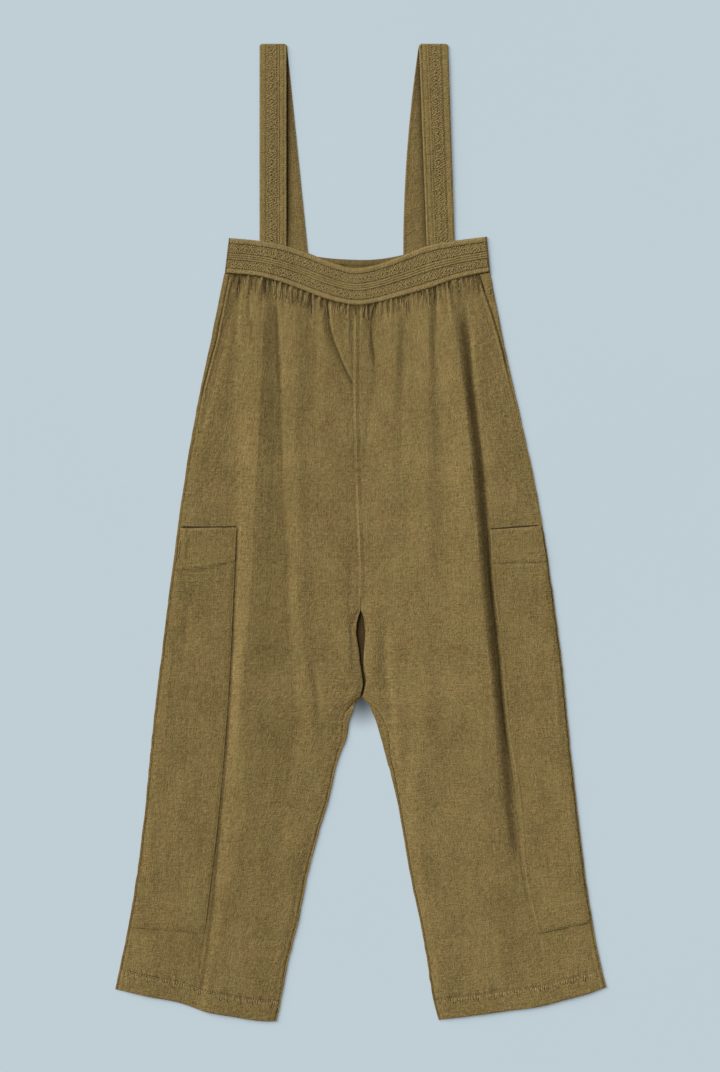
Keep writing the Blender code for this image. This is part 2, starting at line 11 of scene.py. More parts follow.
import bpy
import numpy as np
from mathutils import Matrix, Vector


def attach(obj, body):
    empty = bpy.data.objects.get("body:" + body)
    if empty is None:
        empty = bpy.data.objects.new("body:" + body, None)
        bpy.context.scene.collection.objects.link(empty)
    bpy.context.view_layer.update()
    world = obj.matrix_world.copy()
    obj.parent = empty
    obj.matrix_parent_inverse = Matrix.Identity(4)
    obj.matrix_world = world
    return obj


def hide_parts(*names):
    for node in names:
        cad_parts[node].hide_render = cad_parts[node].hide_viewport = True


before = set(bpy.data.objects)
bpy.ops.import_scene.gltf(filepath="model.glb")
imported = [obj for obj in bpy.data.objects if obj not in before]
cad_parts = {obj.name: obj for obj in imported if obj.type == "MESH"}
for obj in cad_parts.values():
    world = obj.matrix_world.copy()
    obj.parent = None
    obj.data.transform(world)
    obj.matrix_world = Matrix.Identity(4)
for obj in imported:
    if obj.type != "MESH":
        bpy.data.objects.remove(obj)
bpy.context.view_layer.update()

MM = 0.001

# Cloth and construction
CLOTH = 0.7
GAP = 0.3
BACK_GAP = 0.03
HEM_DEPTH = 29.0
HEM_STEP = 0.45
BAND_WALL = 1.2
BACK_BAND_DEPTH = 51.0
BAND_INSET = 2.2
STRAP_WALL = 1.0
ROLL_RADIUS = 0.95
ROLL_PRESSED = 0.4
SEAM_TOP = 1.95
BODY_TOP = 2.6
LOWEST_TOP = 1.6
LOWEST_HEM_TOP = 2.05
HIGHEST_TOP = 13.5
LINE_GAIN = 0.85
POCKET_TOP = 3.8
POCKET_WALL = 0.7
POCKET_LOWEST = 2.6
STRAP_TOP = 684.0
STRAP_RISE = 25.0
STRAP_WIDTH = 38.0
STRAP_RUN = 275.0
BAND_LENGTH = 360.0
BAND_DEPTH = 50.0
CROTCH_Y = -230.0
WAIST_CENTRE_Y = 318.0
HEM_LOWEST_Y = -684.0
SLIT_TOP_Y = -108.0
SIDE_SOFTNESS = 14.0
INSEAM_SOFTNESS = 12.0

Spot = namedtuple("Spot", "x y")
Inset = namedtuple("Inset", "y inset")
Fold = namedtuple("Fold", "top middle low left_width right_width rise fade_top fade_low")
Crease = namedtuple("Crease", "start end bow width rise")
Gather = namedtuple("Gather", "x height reach")
Mouth = namedtuple("Mouth", "top low")

SIDE = {
    "left": (
        Spot(-191, 365), Spot(-193, 354), Spot(-210, 270), Spot(-233, 158), Spot(-251, 46),
        Spot(-266, -66), Spot(-280, -178), Spot(-293, -290), Spot(-304, -402), Spot(-319, -514),
        Spot(-341, -626), Spot(-344, -640),
    ),
    "right": (
        Spot(181, 365), Spot(183, 354), Spot(199, 270), Spot(224, 158), Spot(248, 46),
        Spot(266, -66), Spot(281, -178), Spot(292, -290), Spot(305, -402), Spot(319, -514),
        Spot(341, -626), Spot(344, -637),
    ),
}
INSEAM = {
    "left": (
        Spot(1, -230), Spot(-5, -238), Spot(-14, -257), Spot(-21, -290), Spot(-32, -318),
        Spot(-45, -374), Spot(-62, -430), Spot(-76, -486), Spot(-87, -542), Spot(-101, -598),
        Spot(-112, -654), Spot(-118, -684),
    ),
    "right": (
        Spot(1, -230), Spot(7, -238), Spot(18, -257), Spot(28, -290), Spot(36, -318),
        Spot(50, -374), Spot(60, -430), Spot(70, -486), Spot(82, -542), Spot(92, -598),
        Spot(101, -654), Spot(108, -682),
    ),
}
HEM = {
    "left": (
        Spot(-344, -639), Spot(-301, -649), Spot(-251, -659), Spot(-217, -671), Spot(-184, -677),
        Spot(-133, -684), Spot(-118, -684),
    ),
    "right": (
        Spot(108, -682), Spot(152, -677), Spot(203, -670), Spot(253, -663), Spot(287, -654),
        Spot(320, -645), Spot(344, -636),
    ),
}
CENTRE_SEAM = (
    Spot(-6, 340), Spot(-7, 186), Spot(-4, 60), Spot(0, -76), Spot(-1, -113), Spot(-1, -150),
    Spot(1, -192), Spot(3, -214), Spot(1, -230),
)
# The open end of the centre seam above the crotch, as Y and the X of its left and right edge
SLIT = (
    (-230, -1.6, 2.2), (-222, 0.6, 4.0), (-215, 2.4, 5.4), (-207, 2.2, 7.0), (-194, 0.6, 3.9),
    (-180, -1.7, 3.2), (-166, -3.0, 3.9), (-153, -5.1, 5.0), (-140, -7.3, 6.1), (-127, -6.1, 4.9),
    (-117, -3.9, 3.2), (-111, -1.4, 0.4), (-108, -1.1, -0.7),
)
SIDE_INSET = {
    "left": (
        Inset(365, 8), Inset(270, 8), Inset(200, 4.5), Inset(160, 5), Inset(40, 3.6), Inset(-640, 3.4),
    ),
    "right": (
        Inset(365, 16), Inset(340, 13.5), Inset(325, 11), Inset(306, 8.5), Inset(282, 6), Inset(260, 4),
        Inset(190, 3), Inset(0, 2.2), Inset(-640, 2.8),
    ),
}
INSEAM_INSET = {
    "left": (
        Inset(-230, 2.5), Inset(-240, 7.5), Inset(-254, 11), Inset(-290, 6.5), Inset(-318, 3.6),
        Inset(-684, 2.6),
    ),
    "right": (
        Inset(-230, 1), Inset(-248, 9), Inset(-280, 13), Inset(-310, 7), Inset(-380, 3.4), Inset(-684, 2.8),
    ),
}
# How much of each side seam's groove shows, as Y and share
SEAM_SHOWS = {
    "left": ((-640, 0.9), (-60, 0.8), (60, 0.5), (160, 1.0), (365, 1.0)),
    "right": ((-640, 1.0), (-62, 1.0), (-46, 0.1), (150, 0.15), (200, 1.0), (365, 1.0)),
}
BAND_TOP = (
    Spot(-185, 412), Spot(-143, 408), Spot(-105, 401), Spot(-74, 391), Spot(-44, 379),
    Spot(-10, 370), Spot(26, 376), Spot(59, 388), Spot(92, 401), Spot(130, 408), Spot(176, 414),
)
BAND_BOTTOM = (
    Spot(-191, 363), Spot(-142, 358), Spot(-100, 346), Spot(-58, 330), Spot(-23, 320),
    Spot(-6, 318), Spot(19, 321), Spot(54, 330), Spot(96, 342), Spot(138, 356), Spot(181, 365),
)
BACK_TOP = (
    Spot(-185, 412), Spot(-142, 405), Spot(-100, 396), Spot(-66, 387), Spot(-16, 382),
    Spot(18, 382), Spot(52, 387), Spot(96, 400), Spot(138, 408), Spot(176, 414),
)

# Crest and valley lines down each leg, in order from its side to its inner edge. Stations give Y, X
# and height over the body. Before and after say how crisp the line is on its side-ward and its
# inward slope: 0 rounds it off, 1 keeps the slope straight up to it, more than 1 starts it steeply.
Line = namedtuple("Line", "name before after stations")
LINES = {
    "left": (
        Line("side panel", 0, 0, (
            (330, -195, 0.5), (283, -203, 0.6), (115, -214, 1.2), (17, -222, 1.0), (-94, -225, 0.8),
            (-374, -260, 0.8), (-584, -292, 1.4), (-654, -300, 0.8),
        )),
        Line("pocket crease", 0.3, 0.6, (
            (330, -160, 0.8), (283, -172, 0.8), (213, -178, 0.6), (115, -175, 0.4), (17, -177, 0.0),
            (-94, -177, -0.2), (-178, -181, -0.2), (-262, -185, -0.2), (-374, -195, -0.2),
            (-486, -208, -0.2), (-584, -221, -0.4), (-654, -228, -0.2),
        )),
        Line("outer crest", 0.3, 0.9, (
            (330, -136, 2.8), (283, -137, 5.8), (213, -139, 6.8), (115, -144, 7.0), (17, -150, 6.6),
            (-94, -154, 6.4), (-178, -162, 5.8), (-262, -168, 5.2), (-374, -160, 4.6),
            (-486, -182, 3.2), (-584, -201, 2.8), (-654, -213, 1.4),
        )),
        Line("outer valley", 1.1, 0.9, (
            (330, -119, 0.4), (310, -117, 0.0), (283, -116, -0.2), (213, -113, -0.3), (115, -110, 0), (17, -106, 0),
            (-94, -100, 0), (-178, -98, 0), (-262, -90, 0), (-374, -103, 0.2), (-486, -119, 0.8),
            (-584, -130, 0.8), (-654, -139, 0.5),
        )),
        Line("inner crest", 0, 0.4, (
            (330, -92, 1.8), (283, -87, 3.4), (213, -87, 3.5), (115, -87, 3.5), (17, -85, 3.1),
            (-94, -85, 2.8), (-178, -76, 2.5), (-262, -66, 1.8), (-374, -74, 0.6), (-486, -92, 0.9),
            (-654, -124, 0.5),
        )),
        Line("inner valley", 0, 0, (
            (330, -68, 0.8), (283, -64, 0.8), (213, -64, 1.6), (115, -73, 3.0), (17, -72, 2.6),
            (-94, -62, 1.8), (-178, -63, 1.3), (-262, -51, 0.6), (-374, -61, 0.3), (-654, -118, 0.4),
        )),
        Line("crest beside the diagonal fold", 0, 0.6, (
            (330, -57, 1.4), (283, -52, 2.8), (246, -46, 3.2), (213, -40, 3.4), (115, -24, 3.7),
            (17, -22, 3.2), (-94, -20, 2.8), (-178, -14, 2.6), (-240, -18, 0.4), (-654, -110, 0),
        )),
        Line("foot of the diagonal fold", 1.0, 1.3, (
            (326, -47, 0.4), (298, -45, 0.9), (280, -42, 1.2), (265, -38, 1.5), (246, -31, 1.9),
            (230, -24, 2.2), (218, -18, 2.4), (205, -12, 2.8), (160, -9, 2.9), (-654, -100, 0),
        )),
        Line("edge of the diagonal fold", 0, 0, (
            (326, -40, 1.5), (290, -38, 2.8), (265, -31, 3.1), (246, -24, 3.2), (218, -13, 3.1),
            (205, -9, 3.0), (-654, -96, 0),
        )),
    ),
    "right": (
        Line("side panel", 0, 0, (
            (330, 166, 0.8), (283, 160, 1.4), (213, 163, 1.5), (115, 181, 1.5), (17, 193, 1.5),
            (-94, 206, 0.8), (-374, 240, 0.6), (-486, 262, 1.2), (-654, 290, 0.5),
        )),
        Line("pocket crease", 1.1, 1.1, (
            (340, 144, 0.6), (298, 148.7, 0.0), (258, 153.3, -0.2), (213, 157, -0.2), (115, 168.5, -0.3), (17, 178, -0.4),
            (-94, 188, -0.4), (-178, 196, -0.4), (-262, 205, -0.4), (-374, 218, -0.3),
            (-486, 234, 0.0), (-584, 245, 0.3), (-654, 250, 0.3),
        )),
        Line("deep crest", 0.6, 0.3, (
            (330, 124, 3.0), (283, 132, 6.2), (213, 142, 8.4), (115, 153, 9.8), (17, 161, 10.2),
            (-94, 170, 10.2), (-178, 179, 10.0), (-262, 187, 9.0), (-374, 192, 5.6), (-486, 193, 3.0),
            (-584, 195, 1.2), (-654, 198, 0.7),
        )),
        Line("middle valley", 0, 0.3, (
            (330, 103, 0.8), (283, 108, 2.0), (213, 107, 3.0), (115, 112, 4.6), (17, 112, 5.4),
            (-94, 113, 5.9), (-178, 109, 5.8), (-262, 111, 4.9), (-374, 98, 2.6), (-486, 108, 1.8),
            (-584, 120, 0.8), (-654, 130, 0.4),
        )),
        Line("middle crest", 0.5, 0.3, (
            (330, 90, 1.8), (283, 94, 5.0), (213, 94, 5.7), (115, 94, 6.4), (17, 95, 6.5),
            (-94, 94, 6.3), (-178, 91, 6.2), (-262, 92, 5.6), (-374, 77, 3.2), (-486, 92, 1.8),
            (-584, 104, 0.8), (-654, 112, 0.4),
        )),
        Line("inner valley", 0, 0.2, (
            (330, 62, 0.6), (283, 67, 1.6), (213, 60, 2.6), (115, 57, 3.6), (17, 56, 4.2),
            (-94, 60, 4.9), (-178, 52, 4.2), (-262, 50, 2.0), (-374, 62, 0.8), (-654, 106, 0.3),
        )),
        Line("inner crest", 0.3, 0.2, (
            (330, 44, 1.6), (283, 49, 4.0), (213, 46, 4.4), (115, 43, 4.4), (17, 38, 4.2),
            (-94, 33, 4.0), (-178, 30, 2.6), (-262, 40, 0.6), (-374, 56, 0), (-654, 104, 0),
        )),
        Line("valley beside the seam", 0.6, 1.3, (
            (326, 19, 0.0), (310, 15.5, 0.0), (283, 14.5, 0.2), (265, 16, 0.5), (246, 18, 1.0),
            (222, 20, 1.7), (185, 16, 2.3), (115, 6, 2.8), (17, 6, 2.6), (-178, 12, 2.4),
            (-240, 14, 0.4), (-654, 102, 0),
        )),
        Line("crest beside the seam", 0, 0, (
            (326, 5, 1.0), (283, 5, 2.9), (213, 5, 3.0), (115, 1, 3.0), (-178, 6, 2.3), (-240, 8, 0.2),
            (-654, 101, 0),
        )),
    ),
}
CENTRE_HEIGHTS = (
    (326, 0.9), (283, 2.8), (213, 3.0), (115, 3.0), (17, 2.7), (-94, 2.4), (-150, 1.8), (-200, 1.0),
    (-232, 0.2),
)

# Smaller folds: the crest follows a parabola through three spots; a negative rise is a trough
FOLDS = (
    Fold(Spot(-170, 360), Spot(-187, 283), Spot(-222, 150), 9, 6, -1.3, 1, 60),
    Fold(Spot(-168, 350), Spot(-172, 310), Spot(-174, 275), 4, 3, -1.1, 1, 40),
    Fold(Spot(-14, -108), Spot(-17, -150), Spot(-9, -213), 16, 7, 1.0, 25, 20),
    Fold(Spot(12, -110), Spot(14, -158), Spot(14, -213), 7, 13, 1.3, 25, 20),
    Fold(Spot(34, -150), Spot(35, -190), Spot(46, -262), 8, 5, -1.6, 25, 30),
    Fold(Spot(40, -236), Spot(50, -262), Spot(58, -310), 6, 9, 1.2, 20, 40),
    Fold(Spot(-66, -200), Spot(-60, -235), Spot(-58, -262), 5, 4, -0.9, 20, 30),
)

# Lines of painted shade in folds, and of painted highlight where the tone is positive: spots, width, tone and the
# lengths of both fades
Shade = namedtuple("Shade", "spots width tone fade_top fade_low")
SHADES = {
    "left": (
        Shade(
            (Spot(-47, 325), Spot(-44.5, 290), Spot(-41, 275), Spot(-31, 248), Spot(-21.5, 226), Spot(-10, 204)),
            1.6, -0.7, 8, 8,
        ),
        Shade(
            (Spot(-51, 325), Spot(-48.5, 290), Spot(-45, 275), Spot(-35, 248), Spot(-25, 226), Spot(-13, 204)),
            4.0, -0.22, 8, 20,
        ),
        Shade(
            (Spot(-43.4, 325), Spot(-41, 290), Spot(-37.6, 275), Spot(-27.6, 248), Spot(-18, 226), Spot(-7, 204)),
            1.5, 0.22, 8, 8,
        ),
        Shade((Spot(-177, 4), Spot(-179, -60), Spot(-181, -150)), 1.6, -0.4, 4, 70),
        Shade((Spot(-121, 330), Spot(-119, 300), Spot(-117, 260), Spot(-115, 180)), 3.2, -0.3, 30, 60),
        Shade((Spot(-115, 330), Spot(-113, 300), Spot(-111, 260), Spot(-109, 180)), 2.0, 0.2, 30, 60),
        Shade((Spot(-171, 356), Spot(-173, 335), Spot(-177, 310)), 2.2, -0.5, 3, 25),
        Shade((Spot(-182, 345), Spot(-186, 310), Spot(-195, 262)), 5.0, -0.22, 20, 50),
        Shade((Spot(-153, 305), Spot(-154, 285), Spot(-155, 262)), 2.0, -0.3, 12, 20),
        Shade((Spot(-134.5, 353), Spot(-134, 338), Spot(-133, 318)), 1.7, -0.5, 3, 18),
        Shade((Spot(-71, 338), Spot(-70, 320), Spot(-69, 290)), 1.6, -0.6, 3, 30),
        Shade(
            (Spot(-177, 4), Spot(-181, -178), Spot(-195, -374), Spot(-213, -560), Spot(-227, -660)),
            2.3, -0.4, 4, 30,
        ),
        Shade((Spot(-170, -60), Spot(-186, -374), Spot(-204, -560), Spot(-219, -660)), 6.0, 0.16, 60, 30),
    ),
    "right": (
        Shade(
            (Spot(19.5, 320), Spot(15.5, 306), Spot(14, 283), Spot(17.5, 248), Spot(19.5, 222)),
            1.5, -0.55, 3, 25,
        ),
        Shade(
            (Spot(14, 320), Spot(10.5, 306), Spot(10.5, 283), Spot(14, 248), Spot(16, 215)),
            3.6, -0.3, 3, 40,
        ),
        Shade((Spot(103, 347), Spot(104, 310), Spot(104.5, 262)), 2.0, -0.5, 3, 50),
        Shade((Spot(147.5, 344), Spot(152, 298), Spot(156.6, 258), Spot(160.5, 212)), 1.8, 0.24, 12, 50),
        Shade((Spot(165.5, 359), Spot(165, 345), Spot(164, 326)), 2.2, -0.6, 3, 16),
        Shade(
            (Spot(136, 330), Spot(141, 298), Spot(150, 212), Spot(162, 115), Spot(170.5, 17), Spot(180, -94),
             Spot(197, -262), Spot(206, -374), Spot(216, -480)),
            6.0, -0.6, 60, 60,
        ),
        Shade((Spot(179, 2), Spot(183, -72), Spot(192, -144)), 1.6, -0.3, 4, 70),
    ),
}

# Small creases pressed or pulled into the cloth: soft lines from start to end
CREASES = (
    Crease(Spot(-1, -104), Spot(-16, -142), 0.5, 2.4, -0.8),
    Crease(Spot(5, -112), Spot(13, -140), -1, 2.4, -0.6),
    Crease(Spot(-171, 340), Spot(-176, 240), 3, 4, -1.0),
    Crease(Spot(-155, 350), Spot(-157, 270), 0, 3, -0.9),
    Crease(Spot(-135, 352), Spot(-138, 300), 1, 2.5, -0.8),
    Crease(Spot(-47, 328), Spot(-50, 290), 0, 2.5, -0.8),
    Crease(Spot(60, 332), Spot(60, 190), 1, 5, -0.8),
    Crease(Spot(103, 344), Spot(104, 230), 1, 4, -1.3),
    Crease(Spot(120, 346), Spot(123, 296), 1, 2.5, -0.8),
    Crease(Spot(7, 320), Spot(7, 260), 0, 2, -0.6),
    Crease(Spot(-209, -572), Spot(-109, -590), 3, 4, -0.5),
    Crease(Spot(-216, -560), Spot(-226, -622), 2, 2.5, -0.9),
    Crease(Spot(-190, -560), Spot(-300, -556), 2, 3, -0.4),
    Crease(Spot(30, -262), Spot(62, -300), 4, 4, 0.7),
    Crease(Spot(24, -258), Spot(50, -312), -3, 3, -0.7),
    Crease(Spot(-30, -262), Spot(-52, -300), -3, 3, -0.6),
    Crease(Spot(-24, -232), Spot(-50, -262), 2, 4, 0.5),
    Crease(Spot(229, -471), Spot(309, -466), 2, 2.5, -0.4),
    Crease(Spot(250, -560), Spot(255, -600), 1, 3, -0.5),
    Crease(Spot(150, -612), Spot(240, -598), 3, 4, -0.35),
    Crease(Spot(-60, -220), Spot(-62, -262), 1, 6, -0.5),
)

GATHERS = {
    "left": (
        Gather(-178, 0.8, 26), Gather(-169, 1.0, 40), Gather(-157, 1.1, 34), Gather(-146, 1.0, 45),
        Gather(-138, 1.2, 60), Gather(-129, 0.9, 30), Gather(-120, 0.8, 28), Gather(-112, 1.1, 46),
        Gather(-104, 1.0, 34), Gather(-97, 1.2, 52), Gather(-90, 1.0, 40), Gather(-83, 1.3, 56),
        Gather(-76, 1.0, 44), Gather(-66, 1.3, 58), Gather(-58, 1.0, 36), Gather(-49, 0.9, 44),
        Gather(-41, 0.9, 34), Gather(-32, 1.0, 48), Gather(-25, 1.1, 40), Gather(-18, 1.0, 52),
        Gather(-11, 0.8, 36),
    ),
    "right": (
        Gather(1, 0.9, 40), Gather(8, 0.8, 30), Gather(18, 1.2, 60), Gather(27, 0.9, 34),
        Gather(35, 1.0, 44), Gather(43, 1.2, 52), Gather(50, 1.0, 38), Gather(57, 1.3, 58),
        Gather(64, 0.9, 30), Gather(71, 1.1, 50), Gather(78, 1.0, 40), Gather(86, 1.2, 56),
        Gather(93, 1.3, 60), Gather(100, 0.9, 36), Gather(107, 1.1, 48), Gather(114, 1.0, 40),
        Gather(121, 1.2, 56), Gather(127, 0.9, 34), Gather(133, 1.1, 46), Gather(140, 1.0, 52),
        Gather(147, 0.9, 38), Gather(154, 0.8, 30), Gather(161, 0.6, 24),
    ),
}

Pocket = namedtuple("Pocket", "name leg inner_edge top_y bottom_y hem_depths creases")
POCKETS = (
    Pocket(
        "side_pocket_left", "left",
        (Spot(-174, 7), Spot(-186, -234), Spot(-193, -328), Spot(-202, -422), Spot(-219, -561)),
        (6, 7), (-552, -561), (59.0, 47.0),
        (
            Crease(Spot(-262, -52), Spot(-181, -39), 3, 3, 1.3),
            Crease(Spot(-262, -48), Spot(-236, -84), 2, 3.5, 1.4),
            Crease(Spot(-256, -56), Spot(-228, -96), 2, 3, -1.2),
            Crease(Spot(-240, -62), Spot(-190, -72), 2, 2.5, -0.5),
            Crease(Spot(-238, -90), Spot(-247, -190), 3, 5, -0.7),
            Crease(Spot(-262, -150), Spot(-273, -300), 3, 3, 0.5),
            Crease(Spot(-250, 0), Spot(-262, -34), 1, 2, -0.7),
            Crease(Spot(-243, -4), Spot(-246, -40), 2, 2.5, 0.6),
        ),
    ),
    Pocket(
        "side_pocket_right", "right",
        (
            Spot(181, 4), Spot(185, -72), Spot(194, -144), Spot(204, -262), Spot(223, -388),
            Spot(229, -471), Spot(248, -561),
        ),
        (9, 4), (-545, -561), (50.0, 46.0),
        (
            Crease(Spot(230, -30), Spot(262, -28), 2, 2.5, -0.5),
            Crease(Spot(256, -30), Spot(246, -44), 1, 2, 0.5),
            Crease(Spot(196, -52), Spot(250, -58), 2, 3, -0.3),
            Crease(Spot(268, -130), Spot(280, -300), 2, 3, 0.5),
            Crease(Spot(212, -260), Spot(222, -380), 2, 3, 0.4),
        ),
    ),
)
MOUTHS = {"left": Mouth(362, 188), "right": Mouth(352, 226)}
# Sharp pinches at the waist seam: each is a line of painted shade down from the band
PINCHES = {
    "left": (
        ((-47, 325), (-46, 312), (-44.8, 298)), ((-70.5, 335), (-70.2, 322), (-69.5, 306)),
        ((-170.5, 359), (-171.5, 350), (-174, 340)), ((-134.5, 355), (-134.3, 345), (-134, 335)),
        ((-7.5, 316), (-7.8, 303)), ((-153, 352), (-153.4, 344)),
    ),
    "right": (
        ((19.5, 320), (16.6, 313), (15.0, 306), (14.3, 297)), ((6.4, 317), (3.9, 309), (2.6, 300)),
        ((103.5, 346), (103.2, 336), (102, 325)), ((166, 359), (169, 348), (172.4, 338)),
        ((56, 330), (56.6, 322)), ((84, 339), (84.5, 330)), ((121, 351), (122, 341)),
    ),
}
# Where each patch pocket's top edge stands off most (there the painted shadow along its opening is widest), and thin
# creases pressed into the pockets, drawn as strokes of painted shade and highlight
POCKET_GAPES = {"left": -240, "right": 214}
PRESSED = {
    "left": (
        ((-260, -56), (-250, -66), (-239, -69), (-228, -67)), ((-256, -67), (-246, -80), (-237, -88)),
        ((-204, -66), (-197, -68.5)), ((-236, -72), (-228, -73)),
        ((-257, -12), (-259, -42)), ((-253, -10), (-256, -36)),
    ),
    "right": (
        ((246, -34), (252, -30), (259, -31)), ((197, -23), (212, -24)), ((196, -30), (222, -31)),
    ),
}
POCKET_BED_MARGIN = 3.0
POCKET_BED_SLOPE = 12.0

Strap = namedtuple("Strap", "name fold front_end back_end mirrored bow")
STRAPS = (
    Strap("strap_left", (-142, -104), (-142, -104), (-112, -74), False, 0.0),
    Strap("strap_right", (81, 122), (92, 131), (59, 97), True, -5.5),
)
SIGN = {"left": -1, "right": 1}
LEG_TONE = {"left": 0.03, "right": 0.13}
FINE_COLUMNS_AT = {"left": 0.38, "right": 0.34}
# Share of the floor's colour that it emits: painted light that keeps shadows on it light
FLOOR_GLOW = 0.4

# Grid sizes
FRONT_COLUMNS = 152
BACK_FLAT_COLUMNS = 16
ROLL_STEPS = 8
RETURN_STEPS = 6
POCKET_COLUMNS = 56
POCKET_ROWS = 210
BAND_STATIONS = 260
BAND_ROWS = 56
STRAP_STATIONS = 130
STRAP_COLUMNS = 36
STRAP_FOLD_TURNS = 8
STRAP_CORNER = 1.8


def smooth_curve(places, values):
    """A smooth curve through the given values: a cubic between each pair, straight past both ends."""
    order = np.argsort(places)
    at = np.asarray(places, float)[order]
    value = np.asarray(values, float)[order]
    slope = np.gradient(value, at)

    def curve(wanted):
        inside = np.clip(wanted, at[0], at[-1])
        i = np.clip(np.searchsorted(at, inside) - 1, 0, len(at) - 2)
        span = at[i + 1] - at[i]
        t = (inside - at[i]) / span
        start = (1 + 2 * t) * (1 - t) ** 2 * value[i] + t * (1 - t) ** 2 * span * slope[i]
        end = t * t * (3 - 2 * t) * value[i + 1] - t * t * (1 - t) * span * slope[i + 1]
        past = np.where(wanted < at[0], slope[0], slope[-1]) * (wanted - inside)
        return start + end + past

    return curve


def x_of_y(spots):
    return smooth_curve([spot.y for spot in spots], [spot.x for spot in spots])


def y_of_x(spots):
    return smooth_curve([spot.x for spot in spots], [spot.y for spot in spots])


def straight_inset(rows):
    ys = [row.y for row in rows][::-1]
    insets = [row.inset for row in rows][::-1]
    return lambda y: np.interp(y, ys, insets)


def ease(value):
    """0 below 0, 1 above 1 and a smooth step between."""
    t = np.clip(value, 0, 1)
    return t * t * (3 - 2 * t)


def bell(away, width):
    """1 where away is 0, falling to both sides as a bell curve of that width."""
    return np.exp(-((away / width) ** 2))


def soft_noise(x, y, cell_x, cell_y, seed):
    """Values from -1 to 1 on a lattice of random numbers, eased between lattice points."""
    lattice = np.random.default_rng(seed).uniform(-1, 1, (256, 256))
    along = np.asarray(x) / cell_x + 77.3
    across = np.asarray(y) / cell_y + 31.7
    i = np.floor(along).astype(int)
    j = np.floor(across).astype(int)
    s = ease(along - i)
    t = ease(across - j)
    low = lattice[i % 256, j % 256] * (1 - s) + lattice[(i + 1) % 256, j % 256] * s
    high = lattice[i % 256, (j + 1) % 256] * (1 - s) + lattice[(i + 1) % 256, (j + 1) % 256] * s
    return low * (1 - t) + high * t


def crease_noise(x, y, cell_x, cell_y, seed):
    """Thin crests where soft noise passes through zero: 1 on the crest, falling to 0 beside it."""
    return np.clip(1 - 4 * np.abs(soft_noise(x, y, cell_x, cell_y, seed)), 0, 1) ** 1.5


side_curve = {leg: x_of_y(SIDE[leg]) for leg in SIDE}
inseam_curve = {leg: x_of_y(INSEAM[leg]) for leg in INSEAM}
side_inset = {leg: straight_inset(SIDE_INSET[leg]) for leg in SIDE}
inseam_inset = {leg: straight_inset(INSEAM_INSET[leg]) for leg in SIDE}
hem_y = {leg: y_of_x(HEM[leg]) for leg in HEM}
centre_x = x_of_y(CENTRE_SEAM)
band_top_y = y_of_x(BAND_TOP)
band_bottom_y = y_of_x(BAND_BOTTOM)
back_top_y = y_of_x(BACK_TOP)


def back_bottom_y(x):
    return back_top_y(x) - BACK_BAND_DEPTH


def side_x(leg, y):
    """Outline at the side, with the small waves that the seam's thread pulls into it."""
    seed = 11 if leg == "left" else 12
    return side_curve[leg](y) + 0.45 * soft_noise(y, 0, 11, 1, seed) - 0.2


def inseam_x(leg, y):
    """Outline between the legs, with small waves that start under the crotch."""
    seed = 13 if leg == "left" else 14
    below = ease((CROTCH_Y - 10 - y) / 30)
    return inseam_curve[leg](y) + below * 0.55 * soft_noise(y, 0, 10, 1, seed)


def seam_share(leg, y):
    """How much of the side seam's groove shows at each height, from 0 to 1."""
    ys, shares = zip(*SEAM_SHOWS[leg])
    return np.interp(y, ys, shares)


def side_seam_x(leg, y):
    """Where the front leg ends at the side seam."""
    return side_x(leg, y) - SIGN[leg] * side_inset[leg](y)


def inner_edge_x(leg, y):
    """Where the front leg ends inside: at the centre seam, then at the inseam."""
    ys, left, right = zip(*SLIT)
    opened = np.interp(y, ys, left if leg == "left" else right)
    centre = np.where(y > SLIT_TOP_Y, centre_x(y) + SIGN[leg] * GAP / 2, opened)
    inseam = inseam_x(leg, y) + SIGN[leg] * (inseam_inset[leg](y) + GAP / 2)
    return np.where(y >= CROTCH_Y, centre, inseam)


def row_levels():
    """Heights of the rows at the centre of a leg, closer together at the waist and at the hem."""
    waist = np.arange(WAIST_CENTRE_Y - GAP, 225, -2.2)
    body = np.arange(waist[-1] - 3.7, HEM_LOWEST_Y + 60, -3.7)
    hem = np.linspace(body[-1] - 2.4, HEM_LOWEST_Y, 28)
    return np.concatenate([waist, body, hem])


LEVELS = row_levels()
WAIST_SHARE = ease((LEVELS - 60) / 200)
HEM_SHARE = ease((-440 - LEVELS) / 190)


def bent(level, waist_share, hem_share, x, leg, waist_y):
    """Height of a row at x: its level, bent by its shares of the waist's and of the hem's curve."""
    waist = waist_share * (waist_y(x) - WAIST_CENTRE_Y)
    return level + waist + hem_share * (hem_y[leg](x) - HEM_LOWEST_Y)


def row_ends(leg, waist_y, edge):
    """X and Y where every row meets an edge, found by following the row's own curve."""
    x = edge(LEVELS)
    for _ in range(8):
        x = edge(bent(LEVELS, WAIST_SHARE, HEM_SHARE, x, leg, waist_y))
    return x, bent(LEVELS, WAIST_SHARE, HEM_SHARE, x, leg, waist_y)


def fold_rise(fold, x, y):
    """A ridge or trough of bell section along a parabola through the fold's three spots."""
    spots = (fold.top, fold.middle, fold.low)
    path = np.polynomial.Polynomial.fit([spot.y for spot in spots], [spot.x for spot in spots], 2)
    near = (y < fold.top.y + fold.fade_top) & (y > fold.low.y - 1)
    away = x - path(np.where(near, y, fold.middle.y))
    width = np.where(away < 0, fold.left_width, fold.right_width)
    length = ease((fold.top.y + fold.fade_top - y) / fold.fade_top)
    length = length * ease((y - fold.low.y + fold.fade_low) / fold.fade_low)
    return fold.rise * length * near * np.exp(-((away / width) ** 2))


